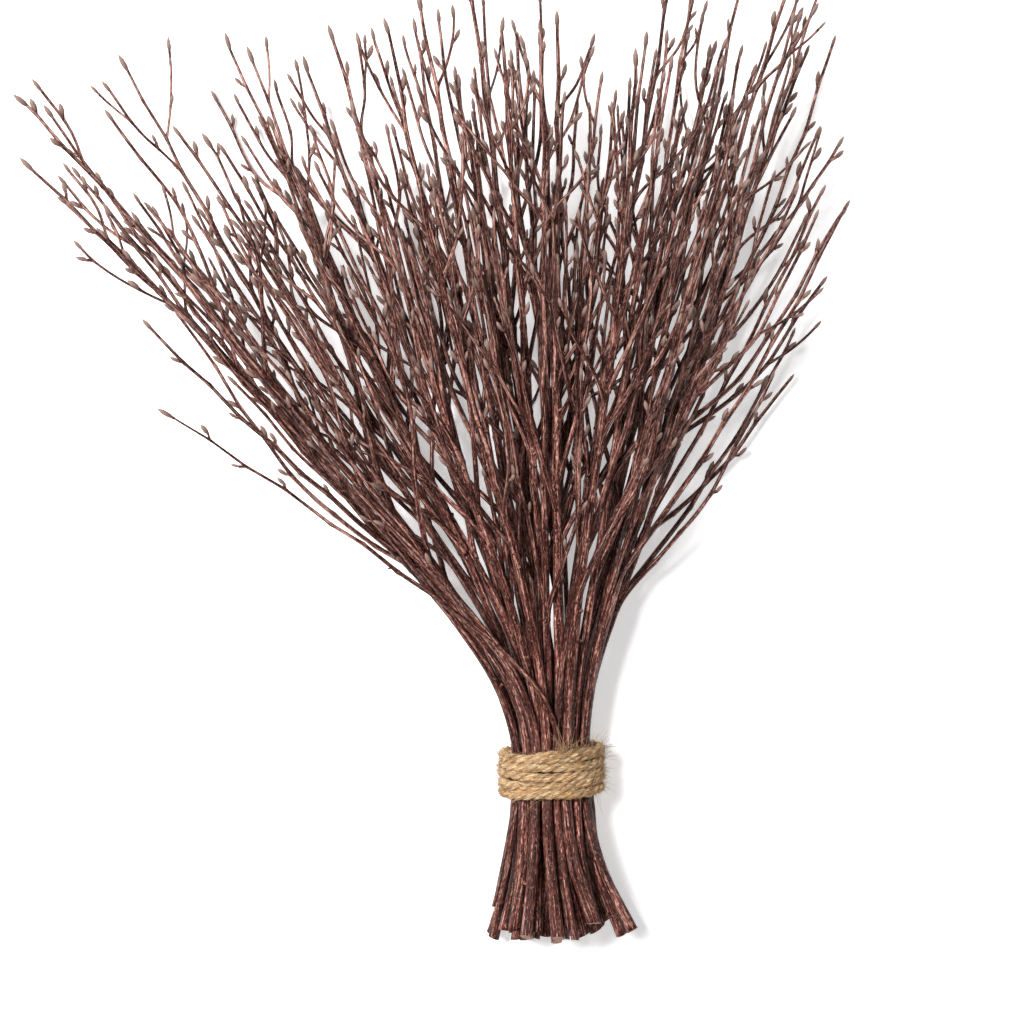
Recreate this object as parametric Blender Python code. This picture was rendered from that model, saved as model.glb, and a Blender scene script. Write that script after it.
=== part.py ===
"""A bundle of birch twigs tied with jute twine, lying on a surface with its tips towards +Y.

Metres, +Z up. Every twig is one grown piece: a tapering stem with its side shoots and end buds.
The twigs pass through the twine side by side, fan out beyond it and splay a little at the cut ends.
They are first drawn as centre lines, then eased apart until no two touch, and only then given shape.
While they are drawn, the middle of the twine stands over the origin.
"""

import math

import bpy
import numpy as np

SEED = 41

# The bundle
TWIG_COUNT = 34
BUTT_REACH = 0.063  # from the middle of the twine to the cut ends
BUTT_UNEVEN = (-0.005, 0.002)
SHORT_BUTT = 0.052  # the outermost twig on the -X side is cut shorter
OUTERMOST = 0.9  # which begins at this share of the way out
TIP_REACH = 0.300  # from the middle of the twine to the tips, along a stem
TIP_UNEVEN = (0.86, 1.05)
WAIST_HALF_WIDTH = 0.0163  # half the width of all stems together inside the twine
WAIST_HALF_DEPTH = 0.0128  # half their depth there, less than the width because the bundle lies down
GAP = 0.0003  # clearance kept between any two pieces
GAP_MARGIN = 1.15  # while easing apart, this many times the gap is asked for

# Twine
TWINE_DIAMETER = 0.0032
TWINE_TURNS = 5
TWINE_PITCH = 0.0034  # from one turn to the next
TWINE_SIDES = 5
STEPS_PER_TURN = 16
WRAP_TILT = 0.0022  # a turn lies this much nearer the cut ends on top, and nearer the tips below
WRAP_MARGIN = 0.0005  # stems start to bend this far past the twine's last turn
FACET_SLACK = 0.0004  # a turn made of straight steps cuts its corners by this much

# One twig
BUTT_RADIUS = 0.00230
TIP_RADIUS = 0.00058
THICKNESS = (0.85, 1.14)  # how much twigs differ
STEM_SIDES = 5
FINE_STEPS = 160  # a stem's line is first worked out at so many points
POINTS_BEYOND = 7  # of which so many are kept beyond the twine,
POINT_CROWDING = 1.5  # closer together near the twine,
BUTT_MIDDLE = 0.58  # and one this far along the cut end
BUD_RADIUS = 0.00105
BUD_LENGTH = 0.0070
BUD_SWELL = 0.35  # where along a bud it is thickest
BUD_RINGS = -2  # a stem's last two points belong to its end bud
CUT_SLANT = 0.35  # how far a cut end leans, as a share of its radius

# Side shoots
SHOOTS_PER_TWIG = 5
SHOOT_TRIES = 40
SHOOT_SIDES = 3
SHOOT_ZONE = (0.33, 0.93)  # the stretch of a stem that bears them
SHOOT_ANGLE = (18.0, 34.0)
SHOOT_RETURN = (0.2, 0.7)  # the share of that angle left in the outer part of a shoot
SHOOT_LENGTH = (0.36, 0.72)  # as a share of the stem beyond it
SHOOT_LEAST = 0.014
SHOOT_ELBOW = 0.45  # where along itself a shoot bends
SHOOT_ROLL = 0.75  # how far shoots stray from the two sides of a stem, in radians
SHOOT_WIDEST = 50.0  # no shoot points further than this from the bundle's line
SHOOT_TAPER = 0.70  # a shoot starts at this share of the stem's radius
SHOOT_RADIUS = 0.0013  # and never thicker than this
SHOOT_END_RADIUS = 0.00090

# The fan, in degrees
LEAN = -6.0  # the whole fan leans a little to -X
LEFT_SPREAD = 37.0
RIGHT_SPREAD = 34.0
SIDE_SCATTER = 6.5
RISE = 8.8  # mean climb of the twigs off the surface
RISE_SPREAD = 9.5
RISE_SCATTER = 2.2
LOWEST_CLIMB = -0.5
SWAY = 2.6  # slow wander of a stem about its own direction, at most
SWAY_SHARE = (0.3, 1.0)

# Bends, along a stem
FIRST_SHARE = 0.45  # a stem turns this share of the way to its own direction
FIRST_BEND = 0.016  # over this length past the twine,
WHOLE_BEND = 0.066  # and the rest of the way over this one
CURL = -0.12  # past CURL_START, a stem gives back this share of its sideways angle
CURL_START = 0.35
CURL_LENGTH = 0.70
BUTT_BEND_START = 0.006
BUTT_BEND_LENGTH = 0.034
BUTT_SPLAY = 0.44  # slope of the outermost cut ends, away from the bundle's line
BUTT_CLIMB = 0.20  # their slope up and down
BUTT_LEAN = 0.7  # the cut ends lean as far to +X as this share of LEAN
BUTT_SCATTER = (0.05, 0.03)

# Twigs that leave the others, near the top of the bundle: sideways angle, climb, length and curl
STRAYS = {
    32: (-55.0, 18.0, 0.211, 0.0),
    27: (-40.5, 16.0, 0.325, 0.05),
    22: (-43.0, 10.0, 0.300, 0.05),
}
BARE_TWIG = 32  # the lowest of them carries no side shoots
BARE_THICKNESS = 0.68  # and is thinner than the others

# Easing apart
ROUNDS = 900
EVEN_ROUNDS = 400  # the rounds in which a push also spreads along its stem
EVENING = 0.12
PUSH = 1.5
LOOK_AGAIN = 15  # neighbours are looked for once in so many rounds
LOOK_AROUND = 0.007

BARK_COLOUR = (0.105, 0.048, 0.040, 1.0)
TWINE_COLOUR = (0.560, 0.400, 0.225, 1.0)

# Worked out from the above
TWINE_RADIUS = TWINE_DIAMETER / 2
COIL_LENGTH = TWINE_TURNS * TWINE_PITCH
COIL_HALF_WIDTH = WAIST_HALF_WIDTH + GAP + FACET_SLACK + TWINE_RADIUS
COIL_HALF_DEPTH = WAIST_HALF_DEPTH + GAP + FACET_SLACK + TWINE_RADIUS
STEP_COSINE = math.cos(math.pi / STEPS_PER_TURN)
WAIST_HEIGHT = (COIL_HALF_DEPTH + TWINE_RADIUS * math.cos(math.pi / TWINE_SIDES)) * STEP_COSINE
WRAP_EDGE = (COIL_LENGTH + TWINE_DIAMETER) / 2 + WRAP_TILT + WRAP_MARGIN
GOLDEN_ANGLE = math.pi * (3.0 - math.sqrt(5.0))


def unit(v):
    """Each vector divided by its length."""
    return v / np.maximum(np.linalg.norm(v, axis=-1, keepdims=True), 1e-12)


def smooth(t):
    """0 below 0, 1 above 1, and a smooth step between."""
    t = np.clip(t, 0.0, 1.0)
    return t * t * (3.0 - 2.0 * t)


def blend(a, b, share):
    """The value between a and b at each share."""
    return a + (b - a) * share


def nearest(p, q, a, b):
    """The closest approach of segments p-q and a-b: the share along each, and the vector between."""
    d1, d2, r = q - p, b - a, p - a
    aa, ee = np.sum(d1 * d1, -1), np.sum(d2 * d2, -1)
    bb, cc, ff = np.sum(d1 * d2, -1), np.sum(d1 * r, -1), np.sum(d2 * r, -1)
    denominator = np.maximum(aa * ee - bb * bb, 1e-18)
    s = np.clip((bb * ff - cc * ee) / denominator, 0.0, 1.0)
    t = np.clip((bb * s + ff) / ee, 0.0, 1.0)
    s = np.clip((bb * t - cc) / aa, 0.0, 1.0)
    between = (p + s[..., None] * d1) - (a + t[..., None] * d2)
    return s, t, between


def stations(length, butt):
    """Where along a stem its rings stand, from the cut end to the tip, 0 at the middle of the twine."""
    share = np.arange(POINTS_BEYOND) / (POINTS_BEYOND - 1)
    beyond = WRAP_EDGE + (length - WRAP_EDGE) * share ** POINT_CROWDING
    return np.concatenate([[-butt, -BUTT_MIDDLE * butt, -WRAP_EDGE], beyond])


def stem_line(place, side, climb, length, butt, curl, rng):
    """One stem's centre line: straight through the twine, and bent to its own direction beyond it."""
    across, up = place
    fine = np.linspace(-butt, length, FINE_STEPS)
    past = fine - COIL_LENGTH / 2
    turned = blend(smooth(past / WHOLE_BEND), smooth(past / FIRST_BEND), FIRST_SHARE)
    curled = 1.0 + curl * smooth((fine - CURL_START * length) / (CURL_LENGTH * length))
    phase = rng.uniform(0, 2 * math.pi, 2)
    sway = rng.uniform(*SWAY_SHARE, 2) * math.radians(SWAY)
    wander = sway[:, None] * np.sin(fine / length * 2 * math.pi + phase[:, None]) * turned
    splayed = smooth((-fine - BUTT_BEND_START) / BUTT_BEND_LENGTH)
    butt_side = BUTT_SPLAY * across - BUTT_LEAN * math.radians(LEAN) + rng.normal(0, BUTT_SCATTER[0])
    butt_climb = BUTT_CLIMB * up + rng.normal(0, BUTT_SCATTER[1])
    sideways = math.radians(side) * turned * curled + wander[0] - splayed * butt_side
    climbing = math.radians(climb) * turned + wander[1] - splayed * butt_climb
    heading = np.stack([
        np.sin(sideways) * np.cos(climbing),
        np.cos(sideways) * np.cos(climbing),
        np.sin(climbing),
    ], -1)
    step = np.diff(fine)[:, None] * (heading[1:] + heading[:-1]) / 2
    line = np.concatenate([np.zeros((1, 3)), np.cumsum(step, 0)])
    middle = np.array([np.interp(0.0, fine, line[:, k]) for k in range(3)])
    start = np.array([
        across * (WAIST_HALF_WIDTH - BUTT_RADIUS),
        0.0,
        WAIST_HEIGHT + up * (WAIST_HALF_DEPTH - BUTT_RADIUS),
    ])
    line = line - middle + start
    return np.stack([np.interp(stations(length, butt), fine, line[:, k]) for k in range(3)], -1)


def with_end_bud(points, radii):
    """A stem's line carried on into its end bud: a swelling and then a point."""
    heading = unit(points[-1] - points[-2])
    swell = points[-1] + heading * BUD_LENGTH * BUD_SWELL
    tip = points[-1] + heading * BUD_LENGTH
    return np.vstack([points, swell, tip]), np.concatenate([radii, [BUD_RADIUS, 0.0]])


def draw_stems(rng):
    """Centre lines and radii of all stems, placed evenly across the waist as seeds are in a sunflower."""
    lines, radii = [], []
    for i in range(TWIG_COUNT):
        reach = math.sqrt((i + 0.5) / TWIG_COUNT)
        place = (reach * math.cos(i * GOLDEN_ANGLE), reach * math.sin(i * GOLDEN_ANGLE))
        spread = LEFT_SPREAD if place[0] < 0 else RIGHT_SPREAD
        side = LEAN + spread * place[0] + rng.normal(0, SIDE_SCATTER)
        climb = max(RISE + RISE_SPREAD * place[1] + rng.normal(0, RISE_SCATTER), LOWEST_CLIMB)
        length = TIP_REACH * rng.uniform(*TIP_UNEVEN)
        butt = BUTT_REACH + rng.uniform(*BUTT_UNEVEN)
        curl = CURL
        if i in STRAYS:
            side, climb, length, curl = STRAYS[i]
        if place[0] < -OUTERMOST:
            butt = SHORT_BUTT
        line = stem_line(place, side, climb, length, butt, curl, rng)
        share = (stations(length, butt) + butt) / (length + butt)
        radius = rng.uniform(*THICKNESS) * blend(BUTT_RADIUS, TIP_RADIUS, share)
        if i == BARE_TWIG:
            radius = radius * BARE_THICKNESS
        line, radius = with_end_bud(line, radius)
        lines.append(line)
        radii.append(radius)
    return np.array(lines), np.array(radii)


def hold_in_place(lines, radii):
    """Keeps the two rings at the twine's edges inside its oval, and everything above the surface."""
    oval = np.array([WAIST_HALF_WIDTH, WAIST_HALF_DEPTH])
    middle = np.array([0.0, WAIST_HEIGHT])
    for ring in (2, 3):
        offset = lines[:, ring][:, [0, 2]] - middle
        outside = np.linalg.norm(offset / (oval - radii[:, ring, None]), axis=-1)
        held = middle + offset / np.maximum(outside, 1.0)[:, None]
        lines[:, ring, 0] = held[:, 0]
        lines[:, ring, 2] = held[:, 1]
    lines[:, :, 2] = np.maximum(lines[:, :, 2], radii + GAP / 10)


def close_pairs(lines):
    """The ends of every two segments of different stems that are near enough to meet."""
    count, rings = lines.shape[:2]
    owner = np.repeat(np.arange(count), rings - 1)
    ring = np.tile(np.arange(rings - 1), count)
    a, b = lines[owner, ring], lines[owner, ring + 1]
    middle, half = (a + b) / 2, np.linalg.norm(b - a, axis=-1) / 2
    first, second = np.triu_indices(len(owner), 1)
    apart = np.linalg.norm(middle[first] - middle[second], axis=-1)
    near = (apart < half[first] + half[second] + LOOK_AROUND) & (owner[first] != owner[second])
    return [(owner[k], ring[k] + end) for k in (first[near], second[near]) for end in (0, 1)]


def ease_apart(lines, radii):
    """Pushes stems that overlap away from each other, and lets each push spread smoothly along its stem."""
    drawn = lines.copy()
    for turn in range(ROUNDS):
        if turn % LOOK_AGAIN == 0:
            ends = close_pairs(lines)
        s, t, between = nearest(*(lines[end] for end in ends))
        rp, rq, ra, rb = (radii[end] for end in ends)
        wanted = blend(rp, rq, s) + blend(ra, rb, t) + GAP * GAP_MARGIN
        lacking = np.maximum(wanted - np.linalg.norm(between, axis=-1), 0.0)
        push = lacking[:, None] * unit(between) / 2
        moved, weight = np.zeros_like(lines), np.zeros(lines.shape[:2])
        for end, share, sign in zip(ends, (1 - s, s, 1 - t, t), (1, 1, -1, -1)):
            np.add.at(moved, end, sign * share[:, None] * push)
            np.add.at(weight, end, share * (lacking > 0))
        lines += moved / np.maximum(weight, 1.0)[..., None] * PUSH
        if turn < EVEN_ROUNDS:
            shift = lines - drawn
            evened = shift.copy()
            evened[:, 1:-1] = shift[:, 1:-1] / 2 + (shift[:, 2:] + shift[:, :-2]) / 4
            lines += (evened - shift) * EVENING
        hold_in_place(lines, radii)
    return lines


def segments(points, radii):
    """A line cut into its segments, with the radius at both ends of each."""
    return np.stack([points[:-1], points[1:]], 1), np.stack([radii[:-1], radii[1:]], 1)


def clearance(points, radii, rivals, rival_radii):
    """The smallest gap between one tapering line and all the rival segments."""
    least = math.inf
    for k in range(len(points) - 1):
        p = np.broadcast_to(points[k], rivals[:, 0].shape)
        q = np.broadcast_to(points[k + 1], rivals[:, 0].shape)
        s, t, between = nearest(p, q, rivals[:, 0], rivals[:, 1])
        thick = blend(radii[k], radii[k + 1], s) + blend(rival_radii[:, 0], rival_radii[:, 1], t)
        least = min(least, float(np.min(np.linalg.norm(between, axis=-1) - thick)))
    return least


def try_shoot(line, radii, rng, number):
    """One side shoot drawn at random: it leaves at an angle, bends back a little and ends in a bud."""
    line, radii = line[:BUD_RINGS], radii[:BUD_RINGS]
    lengths = np.concatenate([[0.0], np.cumsum(np.linalg.norm(np.diff(line, axis=0), axis=-1))])
    at = lengths[-1] * blend(*SHOOT_ZONE, (number + rng.uniform(0, 1)) / SHOOTS_PER_TWIG)
    base = np.array([np.interp(at, lengths, line[:, k]) for k in range(3)])
    ring = int(np.searchsorted(lengths, at)) - 1
    heading = unit(line[ring + 1] - line[ring])
    level = unit(np.cross(heading, [0.0, 0.0, 1.0]))
    upward = np.cross(level, heading)
    roll = rng.normal(0, SHOOT_ROLL) + (math.pi if (number + rng.integers(0, 2)) % 2 else 0.0)
    out = level * math.cos(roll) + upward * math.sin(roll)
    angle = math.radians(rng.uniform(*SHOOT_ANGLE))
    length = (lengths[-1] - at) * rng.uniform(*SHOOT_LENGTH) + SHOOT_LEAST
    later = angle * rng.uniform(*SHOOT_RETURN)
    inner = heading * math.cos(angle) + out * math.sin(angle)
    outer = heading * math.cos(later) + out * math.sin(later)
    elbow = base + inner * length * SHOOT_ELBOW
    swell = elbow + outer * length * (1.0 - SHOOT_ELBOW)
    tip = swell + outer * BUD_LENGTH * (1.0 - BUD_SWELL)
    start = min(SHOOT_TAPER * float(np.interp(at, lengths, radii)), SHOOT_RADIUS)
    thin = (start + TIP_RADIUS) / 2
    return np.array([base, elbow, swell, tip]), np.array([start, thin, SHOOT_END_RADIUS, 0.0])


def grow_shoots(lines, radii, rng):
    """Side shoots for every stem. One that would touch another twig or the surface is drawn again."""
    parts = [segments(line, radius) for line, radius in zip(lines, radii)]
    owner = np.concatenate([np.full(len(part[0]), i) for i, part in enumerate(parts)])
    space = np.concatenate([part[0] for part in parts])
    space_radii = np.concatenate([part[1] for part in parts])
    shoots = [[] for _ in lines]
    for number in range(SHOOTS_PER_TWIG):
        for i in range(len(lines)):
            if i == BARE_TWIG:
                continue
            others = owner != i
            for _ in range(SHOOT_TRIES):
                line, radius = try_shoot(lines[i], radii[i], rng, number)
                reach = line[-1] - line[0]
                if abs(reach[0]) > reach[1] * math.tan(math.radians(SHOOT_WIDEST)):
                    continue
                if np.min(line[:, 2] - radius) < GAP / 10:
                    continue
                if clearance(line, radius, space[others], space_radii[others]) < GAP:
                    continue
                if any(clearance(line, radius, *segments(*shoot)) < GAP for shoot in shoots[i]):
                    continue
                pieces, piece_radii = segments(line, radius)
                owner = np.concatenate([owner, np.full(len(pieces), i)])
                space = np.concatenate([space, pieces])
                space_radii = np.concatenate([space_radii, piece_radii])
                shoots[i].append((line, radius))
                break
    return shoots


def frame_along(points):
    """Tangent and two crosswise vectors at each point, turning as little as possible along the line."""
    tangent = unit(np.gradient(points, axis=0))
    side = np.zeros_like(points)
    side[0] = unit(np.cross(tangent[0], [0.0, 0.0, 1.0]))
    for k in range(1, len(points)):
        side[k] = unit(side[k - 1] - tangent[k] * np.dot(side[k - 1], tangent[k]))
    return tangent, side, np.cross(tangent, side)


def tube(points, radii, sides, cut=(0.0, 0.0)):
    """Corners and faces of a closed tube along a line. Its last point is a tip; cut slants its first end."""
    tangent, side, up = frame_along(points)
    turn = np.arange(sides) * 2 * math.pi / sides
    around = side[:-1, None] * np.cos(turn)[:, None] + up[:-1, None] * np.sin(turn)[:, None]
    rings = points[:-1, None] + around * radii[:-1, None, None]
    slant = cut[0] * np.cos(turn) + cut[1] * np.sin(turn)
    rings[0] += tangent[0] * (slant * radii[0])[:, None]
    corners = [tuple(v) for v in np.vstack([rings.reshape(-1, 3), points[-1:]])]
    faces = [tuple(range(sides))[::-1]]
    last = len(points) - 2
    for k in range(last):
        for j in range(sides):
            a = k * sides + j
            b = k * sides + (j + 1) % sides
            faces += [(a, b, b + sides), (a, b + sides, a + sides)]
    for j in range(sides):
        faces.append((last * sides + j, last * sides + (j + 1) % sides, len(corners) - 1))
    return corners, faces


def new_object(name, corners, faces, material):
    """A mesh object of these corners and faces, in the scene's own collection."""
    mesh = bpy.data.meshes.new(name)
    mesh.from_pydata(corners, [], faces)
    mesh.validate()
    mesh.update()
    mesh.materials.append(material)
    obj = bpy.data.objects.new(name, mesh)
    bpy.context.scene.collection.objects.link(obj)
    return obj


def grow_together(stem, shoots):
    """Fuses the shoots to their stem by a Boolean union, so that the twig is one closed piece."""
    modifier = stem.modifiers.new("grown together", "BOOLEAN")
    modifier.operation = "UNION"
    modifier.solver = "EXACT"
    modifier.object = shoots
    bpy.context.view_layer.update()
    graph = bpy.context.evaluated_depsgraph_get()
    whole = bpy.data.meshes.new_from_object(stem.evaluated_get(graph))
    stem.modifiers.clear()
    stem.data = whole
    bpy.data.objects.remove(shoots)


def make_twig(name, line, radii, shoots, cut, bark):
    """One twig: its stem, and the side shoots fused to it."""
    stem = new_object(name, *tube(line, radii, STEM_SIDES, cut), bark)
    corners, faces = [], []
    for shoot in shoots:
        more, sides = tube(*shoot, SHOOT_SIDES)
        faces += [tuple(v + len(corners) for v in face) for face in sides]
        corners += more
    if shoots:
        grow_together(stem, new_object(name + "_shoots", corners, faces, bark))
    return stem


def make_wrap(twine):
    """The twine wound round the waist: an oval coil, with a flat of each turn lying on the surface."""
    steps = TWINE_TURNS * STEPS_PER_TURN
    angle = (np.arange(steps + 1) + 0.5) * 2 * math.pi / STEPS_PER_TURN - math.pi / 2
    along = np.linspace(-COIL_LENGTH / 2, COIL_LENGTH / 2, steps + 1)
    centre = np.stack([
        COIL_HALF_WIDTH * np.cos(angle),
        along - WRAP_TILT * np.sin(angle),
        WAIST_HEIGHT + COIL_HALF_DEPTH * np.sin(angle),
    ], -1)
    outward = unit(np.stack([
        np.cos(angle) / COIL_HALF_WIDTH,
        np.zeros_like(angle),
        np.sin(angle) / COIL_HALF_DEPTH,
    ], -1))
    turn = (np.arange(TWINE_SIDES) + 0.5) * 2 * math.pi / TWINE_SIDES
    lengthwise = np.array([0.0, 1.0, 0.0])
    around = outward[:, None] * np.cos(turn)[:, None] + lengthwise * np.sin(turn)[:, None]
    corners = [tuple(v) for v in (centre[:, None] + TWINE_RADIUS * around).reshape(-1, 3)]
    far_end = tuple(steps * TWINE_SIDES + j for j in range(TWINE_SIDES))
    faces = [tuple(range(TWINE_SIDES))[::-1], far_end]
    for k in range(steps):
        for j in range(TWINE_SIDES):
            a = k * TWINE_SIDES + j
            b = k * TWINE_SIDES + (j + 1) % TWINE_SIDES
            faces.append((a, b, b + TWINE_SIDES, a + TWINE_SIDES))
    return new_object("twine_wrap", corners, faces, twine)


def plain_material(name, colour, roughness):
    """A Principled material of one colour."""
    material = bpy.data.materials.new(name)
    material.use_nodes = True
    shader = material.node_tree.nodes["Principled BSDF"]
    shader.inputs["Base Color"].default_value = colour
    shader.inputs["Roughness"].default_value = roughness
    return material


def centre_over_origin(objects):
    """Parents every piece to one empty, moved so that the middle of their common box is over the origin."""
    corners = np.array([corner.co for obj in objects for corner in obj.data.vertices])
    low, high = corners.min(0), corners.max(0)
    bundle = bpy.data.objects.new("bundle", None)
    bpy.context.scene.collection.objects.link(bundle)
    bundle.location = (-(low[0] + high[0]) / 2, -(low[1] + high[1]) / 2, 0.0)
    for obj in objects:
        obj.parent = bundle


def main():
    """Clears the scene and builds the bundle."""
    for obj in list(bpy.data.objects):
        bpy.data.objects.remove(obj)
    rng = np.random.default_rng(SEED)
    lines, radii = draw_stems(rng)
    lines = ease_apart(lines, radii)
    shoots = grow_shoots(lines, radii, rng)
    bark = plain_material("bark", BARK_COLOUR, 0.6)
    twine = plain_material("jute", TWINE_COLOUR, 0.9)
    pieces = [make_wrap(twine)]
    for i in range(TWIG_COUNT):
        cut = rng.uniform(-CUT_SLANT, CUT_SLANT, 2)
        pieces.append(make_twig(f"twig_{i + 1:02d}", lines[i], radii[i], shoots[i], cut, bark))
    centre_over_origin(pieces)


main()
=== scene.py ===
"""The looks of a bundle of birch twigs tied with jute twine, on a pale stage.

The centre lines of the stems and their side shoots are the ones that the solids have, drawn again
from the same values and the same seed. Round them grow the fine twigs: nodes, small side twigs, buds,
stubs and bark. The file is laid out as an add-on and is run as a script. Metres, +Z up.
"""

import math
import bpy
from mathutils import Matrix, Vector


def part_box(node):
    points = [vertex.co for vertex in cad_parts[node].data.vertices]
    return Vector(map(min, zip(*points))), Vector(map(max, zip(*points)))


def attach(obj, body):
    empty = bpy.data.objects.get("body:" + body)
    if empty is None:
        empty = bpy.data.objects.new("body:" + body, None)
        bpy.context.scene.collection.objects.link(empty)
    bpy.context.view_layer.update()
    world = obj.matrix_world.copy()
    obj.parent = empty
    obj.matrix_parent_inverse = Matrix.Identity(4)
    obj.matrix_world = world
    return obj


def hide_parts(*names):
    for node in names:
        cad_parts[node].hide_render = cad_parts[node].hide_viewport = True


bl_info = {
    "name": "Bundle of birch twigs",
    "version": (1, 0, 0),
    "blender": (4, 5, 0),
    "location": "3D View > Sidebar > Twigs",
    "description": "Grows the twigs of a bundle, winds its twine and sets a pale stage under it",
    "category": "Object",
}

import bpy
import numpy as np
from bpy.props import FloatProperty, FloatVectorProperty, IntProperty, PointerProperty

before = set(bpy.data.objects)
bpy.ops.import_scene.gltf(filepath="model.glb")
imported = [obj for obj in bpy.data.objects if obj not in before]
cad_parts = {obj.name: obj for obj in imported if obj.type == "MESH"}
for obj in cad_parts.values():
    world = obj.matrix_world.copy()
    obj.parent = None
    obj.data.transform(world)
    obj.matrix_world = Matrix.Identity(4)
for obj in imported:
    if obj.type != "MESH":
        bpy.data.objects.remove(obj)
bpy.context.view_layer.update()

# ---- The values that the solids are drawn from -------------------------------------------------
SEED = 41
TWIG_COUNT = 34
BUTT_REACH = 0.063
BUTT_UNEVEN = (-0.005, 0.002)
SHORT_BUTT = 0.052
OUTERMOST = 0.9
TIP_REACH = 0.300
TIP_UNEVEN = (0.86, 1.05)
WAIST_HALF_WIDTH = 0.0163
WAIST_HALF_DEPTH = 0.0128
GAP = 0.0003
GAP_MARGIN = 1.15

TWINE_DIAMETER = 0.0032
TWINE_TURNS = 5
TWINE_PITCH = 0.0034
TWINE_SIDES = 5
STEPS_PER_TURN = 16
WRAP_TILT = 0.0022
WRAP_MARGIN = 0.0005
FACET_SLACK = 0.0004

BUTT_RADIUS = 0.00230
TIP_RADIUS = 0.00058
THICKNESS = (0.85, 1.14)
FINE_STEPS = 160
POINTS_BEYOND = 7
POINT_CROWDING = 1.5
BUTT_MIDDLE = 0.58
BUD_RADIUS = 0.00105
BUD_LENGTH = 0.0070
BUD_SWELL = 0.35
BUD_RINGS = -2
CUT_SLANT = 0.35

SHOOTS_PER_TWIG = 5
SHOOT_TRIES = 40
SHOOT_ZONE = (0.33, 0.93)
SHOOT_ANGLE = (18.0, 34.0)
SHOOT_RETURN = (0.2, 0.7)
SHOOT_LENGTH = (0.36, 0.72)
SHOOT_LEAST = 0.014
SHOOT_ELBOW = 0.45
SHOOT_ROLL = 0.75
SHOOT_WIDEST = 50.0
SHOOT_TAPER = 0.70
SHOOT_RADIUS = 0.0013
SHOOT_END_RADIUS = 0.00090

LEAN = -6.0
LEFT_SPREAD = 37.0
RIGHT_SPREAD = 34.0
SIDE_SCATTER = 6.5
RISE = 8.8
RISE_SPREAD = 9.5
RISE_SCATTER = 2.2
LOWEST_CLIMB = -0.5
SWAY = 2.6
SWAY_SHARE = (0.3, 1.0)

FIRST_SHARE = 0.45
FIRST_BEND = 0.016
WHOLE_BEND = 0.066
CURL = -0.12
CURL_START = 0.35
CURL_LENGTH = 0.70
BUTT_BEND_START = 0.006
BUTT_BEND_LENGTH = 0.034
BUTT_SPLAY = 0.44
BUTT_CLIMB = 0.20
BUTT_LEAN = 0.7
BUTT_SCATTER = (0.05, 0.03)
STRAYS = {
    32: (-55.0, 18.0, 0.211, 0.0),
    27: (-40.5, 16.0, 0.325, 0.05),
    22: (-43.0, 10.0, 0.300, 0.05),
}
BARE_TWIG = 32
BARE_THICKNESS = 0.68

ROUNDS = 900
EVEN_ROUNDS = 400
EVENING = 0.12
PUSH = 1.5
LOOK_AGAIN = 15
LOOK_AROUND = 0.007

TWINE_RADIUS = TWINE_DIAMETER / 2
COIL_LENGTH = TWINE_TURNS * TWINE_PITCH
COIL_HALF_WIDTH = WAIST_HALF_WIDTH + GAP + FACET_SLACK + TWINE_RADIUS
COIL_HALF_DEPTH = WAIST_HALF_DEPTH + GAP + FACET_SLACK + TWINE_RADIUS
STEP_COSINE = math.cos(math.pi / STEPS_PER_TURN)
WAIST_HEIGHT = (COIL_HALF_DEPTH + TWINE_RADIUS * math.cos(math.pi / TWINE_SIDES)) * STEP_COSINE
WRAP_EDGE = (COIL_LENGTH + TWINE_DIAMETER) / 2 + WRAP_TILT + WRAP_MARGIN
GOLDEN_ANGLE = math.pi * (3.0 - math.sqrt(5.0))
UPRIGHT = np.array([0.0, 0.0, 1.0])
ALONG = np.array([0.0, 1.0, 0.0])

# ---- The values of the fine twigs --------------------------------------------------------------
STEM_RINGS = 225
STEM_FACES_ROUND = 12
SHOOT_RINGS = 72
SHOOT_FACES_ROUND = 9
TWIGLET_RINGS = 20
TWIGLET_FACES_ROUND = 7
BUD_FACES_ROUND = 7
FIRST_NODE = 0.085  # from the middle of the twine to a stem's first node
FIRST_LEAF_NODE = 0.150  # from there to the first node that still bears a bud or a small twig
NODE_SPACING = (0.014, 0.022)
NODE_SWELL = 0.24
NODE_WIDTH = 0.0012
COLLAR_SWELL = 0.55  # how much thicker a shoot is where it leaves its stem
COLLAR_LENGTH = 0.0024
FIT = 0.0033  # how far a solid's box may be from its centre line's, which counts radii in every direction

LIFT = 1.1  # lowest middle of a tube over the surface, against its radius; more for branches
STEM_LIFT = 1.12
SHOOT_LIFT = 1.2
TWIGLET_LIFT = 1.3
LEAST_HEIGHT = 0.00002
FIBRE_HEIGHT = 0.0003

TIP_CLEAR = 0.006  # from the last node to the tip, at least
NODE_ROLL = (0.35, 0.45)  # scatter of the side that nodes are on, for a branch and for each node
SWING_START = 0.012  # how far before its first node a branch begins to zigzag
SWING_SHARE = (1.4, 0.0019, 0.25)  # share of the zigzag: this less radius / this, and its least
BARK_WAVES = ((2, 0.045), (3, 0.035), (5, 0.030))  # ridges round a branch, and their height
BARK_DRIFT = 0.22
BARK_ROUGH = 0.012
CUT_FLARE = (0.07, 0.0016)  # swelling at the cut end, and over which length
CUT_LIP = (0.84, 0.00006)  # radius of the cut's rim against the stem's, and how far it stands out

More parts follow.
